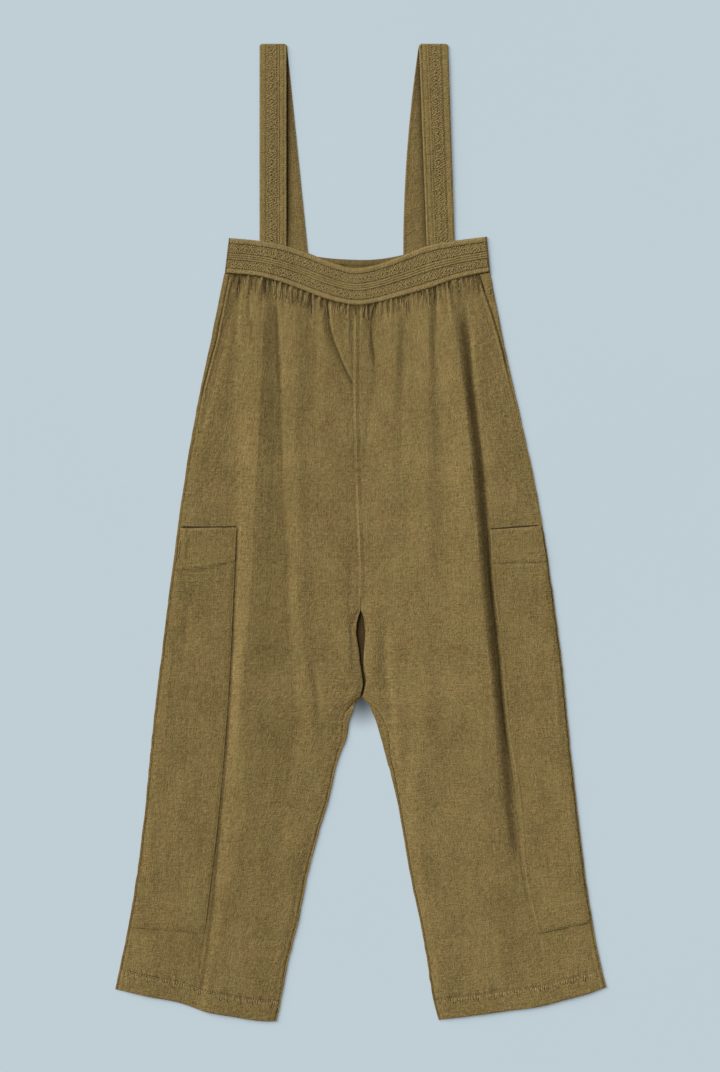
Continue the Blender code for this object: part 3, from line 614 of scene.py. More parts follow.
def panel_height(leg, x, y):
    """
    Height over the body across a leg, from line to line between its side and its inner edge.

    Between two lines the height goes from one to the other by 3t^2 - 2t^3, and crisp lines add
    their share of t - 2t^2 + t^3 at its start and of t^3 - t^2 at its end.
    """
    side = side_seam_x(leg, y)
    away = np.abs(x - side)
    width = np.abs(inner_edge_x(leg, y) - side)
    places, heights = [0 * y], [0 * y]
    before, after = [0], [0.2]
    for line in LINES[leg]:
        ys = np.array([station[0] for station in line.stations], float)
        path = smooth_curve(ys, [station[1] for station in line.stations])
        place = (path(y) - side) * -SIGN[leg]
        places.append(np.clip(place, places[-1] + 1.0, None))
        heights.append(np.interp(y, ys[::-1], [station[2] for station in line.stations][::-1]))
        before.append(line.before)
        after.append(line.after)
    ys, centre = zip(*CENTRE_HEIGHTS)
    places.append(np.maximum(width, 1.0))
    heights.append(np.interp(y, ys[::-1], centre[::-1]))
    before.append(0)
    after.append(0)
    room = len(places) - np.arange(len(places)) - 1
    places = [np.minimum(place, width - 0.8 * spare) for place, spare in zip(places, room)]
    rise = 0 * y
    for i in range(len(places) - 1):
        t = np.clip((away - places[i]) / (places[i + 1] - places[i]), 0, 1)
        share = t * t * (3 - 2 * t)
        share = share + after[i] * t * (1 - t) ** 2 - before[i + 1] * t * t * (1 - t)
        rise = rise + (heights[i + 1] - heights[i]) * share
    return rise


def crease_rise(crease, x, y):
    """A soft line from start to end: bell section, deepest in its middle, bowed to one side."""
    dx = crease.end.x - crease.start.x
    dy = crease.end.y - crease.start.y
    length = math.hypot(dx, dy)
    t = ((x - crease.start.x) * dx + (y - crease.start.y) * dy) / length**2
    away = ((x - crease.start.x) * dy - (y - crease.start.y) * dx) / length
    inside = np.clip(t, 0, 1)
    away = away - crease.bow * 4 * inside * (1 - inside)
    return crease.rise * np.sin(math.pi * inside) ** 0.7 * bell(away, crease.width)


def pocket_bed(x, y):
    """1 where a patch pocket lies on the front leg, falling to 0 around it."""
    bed = np.zeros(np.shape(x))
    for pocket in POCKETS:
        edge = x_of_y(pocket.inner_edge)(y)
        inside = (x - edge) * SIGN[pocket.leg] + 2 * POCKET_BED_MARGIN
        high = max(pocket.top_y) + POCKET_BED_SLOPE - y
        low = y - min(pocket.bottom_y) + POCKET_BED_SLOPE
        share = ease(inside / POCKET_BED_MARGIN)
        share = share * ease(high / POCKET_BED_SLOPE) * ease(low / POCKET_BED_SLOPE)
        bed = np.maximum(bed, share)
    return bed


def gather_rise(leg, waist_x, down):
    """
    The gathers under the waist seam: narrow crests that fall off downwards, each at its own rate.

    Small crests of seeded place, height and reach fill the spaces between the ones in the table.
    """
    rng = np.random.default_rng(31 if leg == "left" else 32)
    rise = np.zeros(np.shape(waist_x))
    down = np.maximum(down, 0)
    for gather in GATHERS[leg]:
        lean = rng.uniform(-0.10, 0.10)
        place = waist_x - gather.x + lean * down + 1.2 * np.sin(down / gather.reach)
        width = rng.uniform(1.5, 2.4) * (1 + down / 70)
        reach = gather.reach * rng.choice([0.35, 0.5, 0.6, 1.15])
        length = np.exp(-((down / reach) ** 1.4))
        rise += 1.45 * gather.height * length * bell(place, width)
    low = min(gather.x for gather in GATHERS[leg])
    high = max(gather.x for gather in GATHERS[leg])
    for _ in range(34):
        place = waist_x - rng.uniform(low, high) + rng.uniform(-0.12, 0.12) * down
        length = np.exp(-((down / rng.uniform(9, 26)) ** 1.5))
        rise += rng.uniform(0.3, 0.7) * length * bell(place, rng.uniform(1.2, 1.8))
    return rise - 0.7 * np.exp(-((down / 24) ** 2))


def mouth_share(leg, y):
    """1 along the open mouth of the pocket in the side seam, 0 above and below it."""
    mouth = MOUTHS[leg]
    return ease((mouth.top - y) / 8) * ease((y - mouth.low) / 8)


def pucker(along, away, reach, cell, seed):
    """Short ripples across a stitched line, which die away beside it."""
    ripple = soft_noise(along, 0, cell, 1, seed) + 0.5 * soft_noise(along, 0, cell * 0.55, 1, seed + 1)
    return ripple * np.exp(-np.abs(away) / reach)


def crinkle(x, y, seed):
    """The gauze's own crinkle: long lengthwise ripples, soft dimples and small broken creases."""
    lengthwise = 0.22 * soft_noise(x, y, 10, 130, seed) + 0.11 * soft_noise(x, y, 5, 60, seed + 1)
    dimples = 0.20 * soft_noise(x + 0.4 * y, y - 0.4 * x, 19, 25, seed + 2)
    dimples = dimples + 0.04 * soft_noise(x, y, 6, 8, seed + 3)
    creases = 0.07 * crease_noise(x + 0.3 * y, y, 19, 34, seed + 4)
    creases = creases + 0.06 * crease_noise(x, y + 0.2 * x, 40, 15, seed + 5)
    return lengthwise + dimples + creases


def front_top(leg, x, y, waist_x, down):
    """Height of the outer face of a front leg: body, folds, gathers, seams, hem and crinkle."""
    from_side = np.abs(x - side_seam_x(leg, y))
    from_inner = np.abs(x - inner_edge_x(leg, y))
    under_crotch = ease((CROTCH_Y + 6 - y) / 12)
    at_inseam = 1 - under_crotch * (1 - ease(from_inner / INSEAM_SOFTNESS))
    body = ease(from_side / SIDE_SOFTNESS) * at_inseam
    bed = pocket_bed(x, y)
    folds = sum(fold_rise(fold, x, y) for fold in FOLDS)
    creases = sum(crease_rise(crease, x, y) for crease in CREASES)
    folds = LINE_GAIN * panel_height(leg, x, y) + folds
    height = SEAM_TOP + body * (BODY_TOP - SEAM_TOP + folds * (1 - bed))
    height = height + creases * (1 - 0.7 * bed)
    height = height + gather_rise(leg, waist_x, down) * ease(from_side / 6)
    height = height + crinkle(x, y, 41 if leg == "left" else 51) * (1 - 0.5 * bed)

    # Centre seam: one narrow raised ridge with a dip at each side
    at_centre = ease((y - SLIT_TOP_Y) / 25)
    allowance = 0.75 * bell(from_inner, 2.3) - 0.25 * bell(from_inner - 4.4, 1.1)
    allowance = allowance * (0.85 + 0.5 * soft_noise(y, 0, 34, 1, 62))
    height = height + at_centre * (allowance + 0.22 * pucker(y, from_inner, 7, 7, 61))

    # Side seam and inseam: a groove at the seam, a ridge beside it and puckers
    groove = -0.45 * bell(from_side, 1.0) + 0.2 * bell(from_side - 3.0, 1.8)
    height = height + seam_share(leg, y) * (groove + 0.24 * pucker(y, from_side, 6, 6, 63))
    height = height + mouth_share(leg, y) * 0.9 * bell(from_side - 2.4, 2.0)
    groove = -0.45 * bell(from_inner, 1.0) + 0.18 * bell(from_inner - 3.0, 1.8)
    height = height + under_crotch * (groove + 0.28 * pucker(y, from_inner, 6, 6, 65))

    # Turned-up hem: a step at the stitch line, puckers above and below it and a rounded lower edge
    over_hem = y - hem_y[leg](x)
    from_stitch = over_hem - HEM_DEPTH
    height = height + HEM_STEP * ease(-from_stitch / 1.6) - 0.75 * bell(from_stitch, 1.1)
    height = height + 0.55 * pucker(x, from_stitch - 1, 7, 5.5, 67)
    height = height + 0.5 * pucker(x, from_stitch, 3.6, 3.6, 69)
    height = height - 0.8 * (1 - ease(over_hem / 2.0))
    lowest = LOWEST_HEM_TOP + (LOWEST_TOP - LOWEST_HEM_TOP) * ease((from_stitch - 4) / 20)
    lowest = lowest - 0.9 * (1 - ease(over_hem / 2.0)) - 0.5 * (1 - ease(from_side / 2))
    return np.clip(height, lowest, HIGHEST_TOP)


def front_tone(leg, x, y, waist_x, down):
    """
    Tone of a front leg's cloth, from -1 to 1: painted shade in pits and seam grooves, painted
    highlight on raised edges.

    Grooves at the seams and at the hem's stitches get painted shade, the ridges beside them and
    the hem's lower edge painted highlight, and between the gathers the cloth gets painted shade
    where it dips under the waistband, with painted highlight on the gather crests. Each leg has its
    own tone, and the legs darken a little towards the hems.
    """
    from_side = np.abs(x - side_seam_x(leg, y))
    from_inner = np.abs(x - inner_edge_x(leg, y))
    under_crotch = ease((CROTCH_Y + 6 - y) / 12)
    at_centre = ease((y - SLIT_TOP_Y) / 25)
    from_stitch = y - hem_y[leg](x) - HEM_DEPTH
    uneven = 0.6 + 0.4 * soft_noise(x, y, 5, 7, 121)
    # Painted shade in the seam grooves and the pocket mouth, painted highlight on the ridges beside them
    groove = 0.12 + 0.3 * mouth_share(leg, y)
    tone = 0.14 * bell(from_side - 3.0, 1.5) - groove * bell(from_side, 1.1)
    tone = tone * seam_share(leg, y)
    tone = tone + under_crotch * (0.14 * bell(from_inner - 3.0, 1.5) - 0.22 * bell(from_inner, 1.2))
    seam = at_centre * (0.85 + 0.5 * soft_noise(y, 0, 34, 1, 62))
    tone = tone + seam * (0.16 * bell(from_inner, 2.0) - 0.12 * bell(from_inner - 4.4, 1.1))
    # Painted shade: a dark line down the closed seam below the bar tack
    below_tack = ease((-84 - y) / 4) * ease((y - CROTCH_Y) / 4)
    tone = tone - 0.5 * below_tack * bell(from_inner, 1.0)
    # Painted shade along the hem's stitch line, painted highlight below it and on the hem's lower edge
    tone = tone - 0.5 * uneven * bell(from_stitch, 1.2) + 0.22 * bell(from_stitch + 4, 2.5)
    tone = tone + 0.15 * bell(from_stitch + HEM_DEPTH - 1.5, 1.5)
    # Painted shade in the pits between the gathers under the waistband, painted highlight on their crests
    gathers = gather_rise(leg, waist_x, down)
    pits = np.clip(1.1 - gathers, 0, 1)
    tone = tone - (0.6 * np.exp(-((down / 4.0) ** 2)) + 0.2 * np.exp(-((down / 20) ** 2))) * pits
    tone = tone + 0.16 * np.clip(gathers - 1.1, 0, 1) * np.exp(-((down / 30) ** 2))
    for shade in SHADES[leg]:
        lengthwise = ease((shade.spots[0].y - y) / shade.fade_top)
        lengthwise = lengthwise * ease((y - shade.spots[-1].y) / shade.fade_low)
        tone = tone + shade.tone * lengthwise * bell(x - x_of_y(shade.spots)(y), shade.width)
    tone = tone + LEG_TONE[leg] - 0.02 * ease((-150 - y) / 400)
    return np.clip(tone, -1, 1)


def column_shares(leg):
    """Shares across a front leg: closer together at both seams and where the crispest creases run."""
    t = np.linspace(0, 1, 400)
    density = 1 + 1.5 * bell(t - FINE_COLUMNS_AT[leg], 0.09) + 1.2 * (bell(t, 0.05) + bell(t - 1, 0.05))
    reach = np.concatenate([[0], np.cumsum((density[1:] + density[:-1]) / 2)])
    return np.interp(np.linspace(0, 1, FRONT_COLUMNS), reach / reach[-1], t)


def crowded(count, share=0.3):
    """Shares from 0 to 1, closer together near both ends."""
    t = np.linspace(0, 1, count)
    return (1 - share) * t + share * (1 - np.cos(math.pi * t)) / 2


def front_grids(leg):
    """Outer and inner grid of a front leg, with cloth coordinates in metres."""
    outer, _ = row_ends(leg, band_bottom_y, lambda y: side_seam_x(leg, y))
    inner, _ = row_ends(leg, band_bottom_y, lambda y: inner_edge_x(leg, y))
    share = column_shares(leg)
    x = outer[:, None] + (inner - outer)[:, None] * share
    y = bent(LEVELS[:, None], WAIST_SHARE[:, None], HEM_SHARE[:, None], x, leg, band_bottom_y)
    waist_x = outer[0] + (inner[0] - outer[0]) * share + 0 * x
    down = WAIST_CENTRE_Y - GAP - LEVELS[:, None] + 0 * x
    z = front_top(leg, x, y, waist_x, down)
    cut_width = np.abs(inner - outer).mean()
    cloth = np.stack([share * cut_width + 0 * x, LEVELS[:, None] + 0 * x], axis=-1) * MM
    top = np.stack([x, y, z], axis=-1)
    low = top - [0, 0, CLOTH]
    return top, low, cloth, front_tone(leg, x, y, waist_x, down)


def roll_section(inset, radius, wall):
    """
    A turned edge as distance from the outline and height, for a wall of that thickness.

    The free end lies inset from the outline at the top. A straight run leads to half a circle, which
    ends at the bottom; it is pressed, so that it is narrower than high. The wall's inner face is the
    same with the radius less the wall.
    """
    angles = np.linspace(math.pi / 2, -math.pi / 2, ROLL_STEPS + 1)
    run = np.linspace(1, 0, RETURN_STEPS + 1)[:-1]
    inset = np.asarray(inset)[:, None]
    thin = radius - wall
    reach = ROLL_PRESSED * radius
    straight = reach + (inset - reach) * run
    outer_turn = reach * (1 - np.cos(angles)) + 0 * inset
    inner_turn = reach * (1 - thin / radius * np.cos(angles)) + 0 * inset
    outer_away = np.concatenate([straight, outer_turn], axis=1)
    inner_away = np.concatenate([straight, inner_turn], axis=1)
    outer_high = np.concatenate([np.full(len(run), 2 * radius), radius + radius * np.sin(angles)])
    inner_high = np.concatenate([np.full(len(run), radius + thin), radius + thin * np.sin(angles)])
    return outer_away, outer_high, inner_away, inner_high


def back_grids(leg):
    """Outer and inner grid of a back leg: flat underneath, rolled up over both long edges."""
    sign = SIGN[leg]

    def side_edge(y):
        return side_x(leg, y)

    def inner_edge(y):
        return np.where(y >= CROTCH_Y, centre_x(CROTCH_Y) + sign * BACK_GAP / 2, inseam_x(leg, y))

    outline, outline_y = row_ends(leg, back_bottom_y, side_edge)
    inner, inner_y = row_ends(leg, back_bottom_y, inner_edge)
    side_end, side_end_y = row_ends(leg, band_bottom_y, lambda y: side_seam_x(leg, y) + sign * GAP)
    inner_end, _ = row_ends(leg, band_bottom_y, lambda y: inner_edge_x(leg, y) - sign * GAP)
    away, high, away_in, high_in = roll_section(sign * (outline - side_end), ROLL_RADIUS, CLOTH)
    over, lift, over_in, lift_in = roll_section(sign * (inner_end - inner), ROLL_RADIUS, CLOTH)
    rolled = ease((CROTCH_Y - LEVELS) / 22.0)[:, None]
    flat = np.arange(over.shape[1]) * 0.8
    edge = over.shape[1]

    def layer(side_away, side_high, inner_over, inner_lift, base):
        side = outline[:, None] - sign * side_away
        inside = inner[:, None] + sign * (flat * (1 - rolled) + inner_over * rolled)
        share = np.linspace(0, 1, BACK_FLAT_COLUMNS + 2)[1:-1]
        between = side[:, -1:] + (inside[:, -1:] - side[:, -1:]) * share
        x = np.concatenate([side, between, inside[:, ::-1]], axis=1)
        z_side = side_high + 0 * side
        z_inside = base * (1 - rolled) + inner_lift * rolled
        z = np.concatenate([z_side, base + 0 * between, z_inside[:, ::-1]], axis=1)
        y = bent(LEVELS[:, None], WAIST_SHARE[:, None], HEM_SHARE[:, None], x, leg, back_bottom_y)
        blend = np.linspace(0, 1, RETURN_STEPS + 1)
        y[:, 1:edge] = outline_y[:, None]
        y[:, :RETURN_STEPS + 1] = side_end_y[:, None] * (1 - blend) + outline_y[:, None] * blend
        y[:, -edge:] = inner_y[:, None]
        return x, y, z

    x, y, z = layer(away, high, over, lift, 0.0)
    x_in, y_in, z_in = layer(away_in, high_in, over_in, lift_in, CLOTH)

    # The strips that show beside the seams: puckers and a groove along their free ends
    return_share = np.concatenate([np.linspace(1, 0, RETURN_STEPS + 1), np.zeros(x.shape[1] - RETURN_STEPS - 1)])
    strip = np.maximum(return_share, return_share[::-1] * rolled)
    from_free = np.minimum(np.abs(x - x[:, :1]), np.abs(x - x[:, -1:]))
    mouth = mouth_share(leg, y)
    wave = 0.22 * soft_noise(y, x, 6, 400, 71) + 0.12 * soft_noise(y, x, 14, 400, 72)
    wave = wave + 0.55 * soft_noise(x, y, 3.5, 70, 73) * ease((y - 280) / 40)
    shows = np.where(np.abs(x - x[:, :1]) < np.abs(x - x[:, -1:]), seam_share(leg, y), 1.0)
    wave = wave - (0.3 * shows + 0.5 * mouth) * bell(from_free, 1.0)
    wave = wave * np.minimum(1, strip * 3)
    # Painted shade in the groove along the strips' free ends and in the pocket mouth, painted highlight on the ridge
    # beside it; painted highlight lightens the strips, most where the seam's groove does not show
    tone = 0.15 * bell(from_free - 3.0, 1.5) - (0.1 * shows + 0.45 * mouth) * bell(from_free, 1.3)
    tone = (tone + 0.1 + 0.15 * (1 - shows)) * np.minimum(1, strip * 4)
    # Painted shade on the back leg's inner face where it shows through the open slit
    slit_shade = bell(x - centre_x(y), 11) * ease((y - CROTCH_Y) / 3) * ease((SLIT_TOP_Y - y) / 3)
    tone = np.stack([tone, tone - 1.2 * slit_shade], axis=-1)
    cloth = np.stack([sign * (x - outline[:, None]) + 0 * x, LEVELS[:, None] + 0 * x], axis=-1) * MM
    outer_grid = np.stack([x, y, z + wave], axis=-1)
    inner_grid = np.stack([x_in, y_in, z_in + wave], axis=-1)
    return outer_grid, inner_grid, cloth, np.clip(tone, -1, 1)


def pocket_grids(pocket):
    """Outer and inner grid of a patch pocket: its hem band, stitched edges and soft waves."""
    leg, sign = pocket.leg, SIGN[pocket.leg]
    edge = x_of_y(pocket.inner_edge)
    down = crowded(POCKET_ROWS, 0.15)[:, None]
    share = crowded(POCKET_COLUMNS, 0.3)
    y_outer = pocket.top_y[0] + (pocket.bottom_y[0] - pocket.top_y[0]) * down
    y_inner = pocket.top_y[1] + (pocket.bottom_y[1] - pocket.top_y[1]) * down
    outer = side_seam_x(leg, y_outer) - sign * GAP
    inner = edge(y_inner)
    x = outer + (inner - outer) * share
    y = y_outer + (y_inner - y_outer) * share
    from_inner = np.abs(x - inner)
    from_outer = np.abs(x - outer)
    from_top = (pocket.top_y[0] - pocket.bottom_y[0]) * down + 0 * x
    from_bottom = (pocket.top_y[0] - pocket.bottom_y[0]) * (1 - down) + 0 * x
    from_stitch = from_top - pocket.hem_depths[0] - (pocket.hem_depths[1] - pocket.hem_depths[0]) * share
    seed = 81 if leg == "left" else 91
    z = POCKET_TOP + crinkle(x, y, seed) * 0.9
    z = z + 0.5 * ease(-from_stitch / 3.0) - 0.4 * bell(from_stitch, 1.6)
    z = z + 0.4 * pucker(x, from_stitch, 6, 5.5, seed + 7)
    nearest = np.minimum(np.minimum(from_inner, from_bottom), from_top)
    z = z - 0.4 * (1 - ease(nearest / 1.6))
    stitched = np.minimum(from_inner, from_bottom)
    z = z - 0.3 * bell(stitched - 3.0, 0.9) + 0.22 * pucker(y + x, stitched - 3, 5, 5.5, seed + 9)
    seam = 0.3 * pucker(y, from_outer, 6, 6, seed + 11) - 0.5 * bell(from_outer, 1.1)
    z = z + seam_share(leg, y) * seam - 0.7 * (1 - ease(from_outer / 9))
    for crease in CREASES + pocket.creases:
        z = z + crease_rise(crease, x, y)
    # Painted highlight on the inner edge and the top rim; painted shade at the stitch lines, the hem band's fold and
    # the side seam
    tone = 0.15 * bell(from_inner - 0.8, 1.2) + 0.4 * bell(from_top - 1.0, 1.6)
    tone = tone - 0.2 * bell(stitched - 3.2, 0.9) - 0.34 * bell(from_stitch, 1.4)
    tone = tone + 0.12 * bell(from_stitch + 3, 2) - 0.25 * seam_share(leg, y) * bell(from_outer, 1.2)
    tone = tone + LEG_TONE[leg]
    cloth = np.stack([np.abs(x - inner) + 0 * x, y], axis=-1) * MM
    top = np.stack([x, y, np.maximum(z, POCKET_LOWEST)], axis=-1)
    return top, top - [0, 0, POCKET_WALL], cloth, np.clip(tone, -1, 1)


# Raised rows across a waistband, as shares of its depth from the top edge
Row = namedtuple("Row", "name start end height tone")
BAND_PROFILE = (
    Row("binding", 0.0, 0.150, 0.8, 0.38), Row("upper ground", 0.165, 0.415, 0.12, 0.02),
    Row("cord", 0.43, 0.485, 0.6, 0.28), Row("cord", 0.49, 0.545, 0.6, 0.28),
    Row("cord", 0.55, 0.605, 0.6, 0.28), Row("lower ground", 0.62, 0.845, 0.12, 0.02),
    Row("corded edge", 0.86, 1.0, 0.8, 0.42),
)
STRAP_PROFILE = (
    Row("plain", 0.0, 0.225, 0.34, 0.36), Row("ground", 0.24, 0.65, 0.1, 0.08),
    Row("cord", 0.665, 0.735, 0.32, 0.3), Row("plain", 0.75, 0.90, 0.3, 0.36),
    Row("edge", 0.915, 1.0, 0.45, 0.48),
)
POINTS_A_ROW = 7


def profile_shares(profile):
    """Shares across a ribbed strip: a few for each row, from its start to its end."""
    return np.concatenate([np.linspace(row.start, row.end, POINTS_A_ROW) for row in profile])


def ribbed(across, profile):
    """Height over the base across a ribbed strip: each row is a low rounded bar."""
    height = np.zeros(np.shape(across))
    for row in profile:
        middle, half = (row.start + row.end) / 2, (row.end - row.start) / 2
        inside = np.clip(1 - (np.abs(across - middle) / half) ** 4, 0, 1)
        height = np.maximum(height, row.height * np.sqrt(inside))
    return height


def ribbed_tone(across, profile, groove=-0.35):
    """Tone across a ribbed strip: each row's tone, partly its own colour and partly painted highlight on the raised
    rows, and painted shade in the grooves between the rows.
    """
    tone = np.full(np.shape(across), groove)
    for row in profile:
        middle, half = (row.start + row.end) / 2, (row.end - row.start) / 2
        tone = np.where(np.abs(across - middle) < 0.86 * half, row.tone, tone)
    return tone


def band_place(along, across):
    """X and Y on the front waistband: a straight line from its top edge to its bottom edge."""
    top_x = BAND_TOP[0].x + BAND_INSET + (BAND_TOP[-1].x - BAND_TOP[0].x - 2 * BAND_INSET) * along
    low_span = BAND_BOTTOM[-1].x - BAND_BOTTOM[0].x - 2 * BAND_INSET
    low_x = BAND_BOTTOM[0].x + BAND_INSET + low_span * along
    x = top_x + (low_x - top_x) * across
    y = band_top_y(top_x) + (band_bottom_y(low_x) - band_top_y(top_x)) * across
    return x, y


def band_height(along, across):
    """Height of the outer face of the front waistband."""
    x, y = band_place(along, across)
    z = 2 * BAND_WALL + GAP + ribbed(across, BAND_PROFILE)
    z = z + 0.18 * soft_noise(x, across, 9, 0.4, 101) + 0.10 * soft_noise(x, across, 4.5, 0.15, 102)
    for strap in STRAPS:
        middle = (strap.front_end[0] + strap.front_end[1]) / 2
        z = z + 0.45 * ease(2 - np.abs(x - middle) / 12) * (1 - across) ** 0.5
    z = z + 0.25 * soft_noise(x, 0, 55, 1, 103)
    ends = np.minimum(along, 1 - along) * 362
    z = z - 0.2 * (1 - ease(ends / 1.8))
    rims = np.minimum(across, 1 - across) * 50
    return z - 0.3 * (1 - ease(rims / 1.4))


def front_band_grids():
    along = np.linspace(0, 1, BAND_STATIONS)[None, :]
    across = profile_shares(BAND_PROFILE)[:, None]
    x, y = band_place(along, across)
    z = band_height(along + 0 * across, across + 0 * along)
    top = np.stack([x, y, z], axis=-1)
    low = np.stack([x, y, BAND_WALL + GAP + 0 * z], axis=-1)
    cloth = np.stack([x, across * 50 + 0 * x], axis=-1) * MM
    return top, low, cloth, ribbed_tone(across, BAND_PROFILE) + 0 * x


def back_band_grids():
    """Outer and inner grid of the back waistband: flat underneath, ribbed on the side that shows."""
    radius = BAND_WALL + GAP / 2
    down = profile_shares(BAND_PROFILE)[:, None]
    left = BAND_TOP[0].x + (BAND_BOTTOM[0].x - BAND_TOP[0].x) * down[:, 0]
    right = BAND_TOP[-1].x + (BAND_BOTTOM[-1].x - BAND_TOP[-1].x) * down[:, 0]
    inset = np.full(len(left), BAND_INSET - GAP)
    away, high, away_in, high_in = roll_section(inset, radius, BAND_WALL)
    edge = away.shape[1]

    def layer(side_away, side_high, base):
        first = left[:, None] + side_away
        last = right[:, None] - side_away
        share = np.linspace(0, 1, BAND_STATIONS // 2 + 2)[1:-1]
        between = first[:, -1:] + (last[:, -1:] - first[:, -1:]) * share
        x = np.concatenate([first, between, last[:, ::-1]], axis=1)
        z = np.concatenate([side_high + 0 * first, base + 0 * between, (side_high + 0 * last)[:, ::-1]], axis=1)
        at = x.copy()
        at[:, :edge] = left[:, None]
        at[:, -edge:] = right[:, None]
        y = back_top_y(at) - BACK_BAND_DEPTH * down
        return x, y, z

    x, y, z = layer(away, high, 0.0)
    x_in, y_in, z_in = layer(away_in, high_in, BAND_WALL)
    middle = np.zeros(x.shape[1])
    middle[edge:-edge] = 1
    z_in = z_in + middle * (ribbed(down + 0 * x, BAND_PROFILE) * 0.7 - 0.3)
    # Painted shade: the inner band's rows are muted and darker overall
    tone = 0.6 * ribbed_tone(down, BAND_PROFILE) - 0.15 + 0 * x
    cloth = np.stack([x, down * BACK_BAND_DEPTH + 0 * x], axis=-1) * MM
    return np.stack([x, y, z], axis=-1), np.stack([x_in, y_in, z_in], axis=-1), cloth, tone


def strap_front(strap, up, across):
    """Place on the inner face of a strap's front run: up from the band (0) to the fold (1)."""
    front = strap.front_end[0] + (strap.front_end[1] - strap.front_end[0]) * across
    fold = strap.fold[0] + (strap.fold[1] - strap.fold[0]) * across
    start = band_top_y(front) + GAP
    y = start + (STRAP_TOP - GAP / 2 - STRAP_WALL - start) * up
    x = front + (fold - front) * up
    base = STRAP_WALL + GAP
    z = base + (BAND_WALL + GAP - base) * ease(1 - (y - start) / STRAP_RISE)
    lift = 0.4 * (1 + soft_noise(y, x, 60, 90, 111)) + 1.2 * (0 if strap.mirrored else 1)
    z = z + lift * ease((y - start) / 50) * ease((1 - up) * 7)
    return x, y, z


def strap_wall(strap, up, across):
    """Thickness of a strap's front run: its ribs and the small puckers of its stitching."""
    outer_share = 1 - across if strap.mirrored else across
    x, y, _ = strap_front(strap, up, across)
    wall = STRAP_WALL + ribbed(outer_share, STRAP_PROFILE)
    wall = wall + 0.12 * soft_noise(y, x, 7, 4, 113) + 0.10 * soft_noise(y, x, 4, 7, 114)
    rims = np.minimum(across, 1 - across) * 38
    return wall - 0.25 * (1 - ease(rims / 1.2))


def strap_grids(strap):
    """Outer and inner grid of a strap: up the front, round the fold and down the back."""
    outer_share = profile_shares(STRAP_PROFILE)[None, :]
    across = 1 - outer_share[:, ::-1] if strap.mirrored else outer_share
    up = np.linspace(0, 1, STRAP_STATIONS)[:, None]
    x, y, z = strap_front(strap, up, across)
    wall = strap_wall(strap, up, across)
    inner_front = np.stack([x, y, z], axis=-1)
    outer_front = np.stack([x, y, z + wall], axis=-1)
    fold = strap.fold[0] + (strap.fold[1] - strap.fold[0]) * across
    turn = GAP / 2
    fold_y = STRAP_TOP - turn - STRAP_WALL
    middle = STRAP_WALL + turn
    angle = (np.arange(1, STRAP_FOLD_TURNS) * math.pi / STRAP_FOLD_TURNS)[:, None]
    share = angle / math.pi
    reach = (wall[-1:] * (1 - share) + STRAP_WALL * share)
    inner_turn = np.stack([fold + 0 * angle, fold_y + turn * np.sin(angle) + 0 * fold,
                           middle + turn * np.cos(angle) + 0 * fold], axis=-1)
    outer_turn = np.stack([fold + 0 * angle, fold_y + (turn + np.minimum(reach, STRAP_WALL)) * np.sin(angle),
                           middle + (turn + reach) * np.cos(angle)], axis=-1)
    back = strap.back_end[0] + (strap.back_end[1] - strap.back_end[0]) * across
    end = back_top_y(back) + GAP
    down = np.linspace(0, 1, STRAP_STATIONS)[:, None]
    x = fold + (back - fold) * down + strap.bow * 4 * down * (1 - down)
    y = fold_y + (end - fold_y) * down
    puckers = 0.12 * soft_noise(y, x, 6, 9, 115) * ease(down * 12)
    rims = np.minimum(across, 1 - across) * 38
    edge = 0 if strap.mirrored else 1
    # Painted shadow on the back run beside the edge of the front run that covers it
    covered = strap.fold[edge] + (strap.front_end[edge] - strap.fold[edge]) * down
    beside = np.clip((covered - x) * (1 if strap.mirrored else -1), 0, None)
    shaded = 1.2 * np.exp(-beside / 4.2) * (1 - 0.4 * down)
    rounded = -0.4 * (1 - ease(rims / 1.2)) - 0.25 * bell(rims - 3.2, 0.8)
    inner_back = np.stack([x, y, STRAP_WALL + puckers + rounded * ease(down * 12)], axis=-1)
    outer_back = np.stack([x, y, 0 * x], axis=-1)
    outer = np.concatenate([outer_front, outer_turn, outer_back])
    inner = np.concatenate([inner_front, inner_turn, inner_back])
    length = np.arange(len(outer))[:, None] * 2.2
    cloth = np.stack([across * 38 + 0 * length, length + 0 * across], axis=-1) * MM
    rounding = STRAP_CORNER * (1 - ease(rims / 3.5))
    for layer in (outer, inner):
        layer[..., 1] -= rounding * ease(1 - (fold_y - layer[..., 1]) / 9)
    # Tones: the front run's ribs as in ribbed_tone; on the back run painted shade at the stitch line and painted
    # highlight on the rim
    front_tone = ribbed_tone(1 - across if strap.mirrored else across, STRAP_PROFILE, -0.12)
    back_tone = 0.06 - 0.25 * bell(rims - 3.2, 0.9) + 0.15 * bell(rims, 1.5) - shaded
    front_rows = np.repeat(front_tone, STRAP_STATIONS + STRAP_FOLD_TURNS // 2, axis=0)
    turned = np.repeat(back_tone[:1], STRAP_FOLD_TURNS - 1 - STRAP_FOLD_TURNS // 2, axis=0)
    return outer, inner, cloth, np.concatenate([front_rows, turned, back_tone])


def grid_quads(rows, columns, start):
    """Corner numbers of the quads of a grid whose points are numbered row by row from start."""
    corner = start + np.arange(rows * columns).reshape(rows, columns)
    return np.stack([corner[:-1, :-1], corner[1:, :-1], corner[1:, 1:], corner[:-1, 1:]], axis=-1)


def rim_numbers(rows, columns):
    """Point numbers once round the rim of a grid."""
    corner = np.arange(rows * columns).reshape(rows, columns)
    return np.concatenate([corner[:-1, 0], corner[-1, :-1], corner[:0:-1, -1], corner[0, :0:-1]])


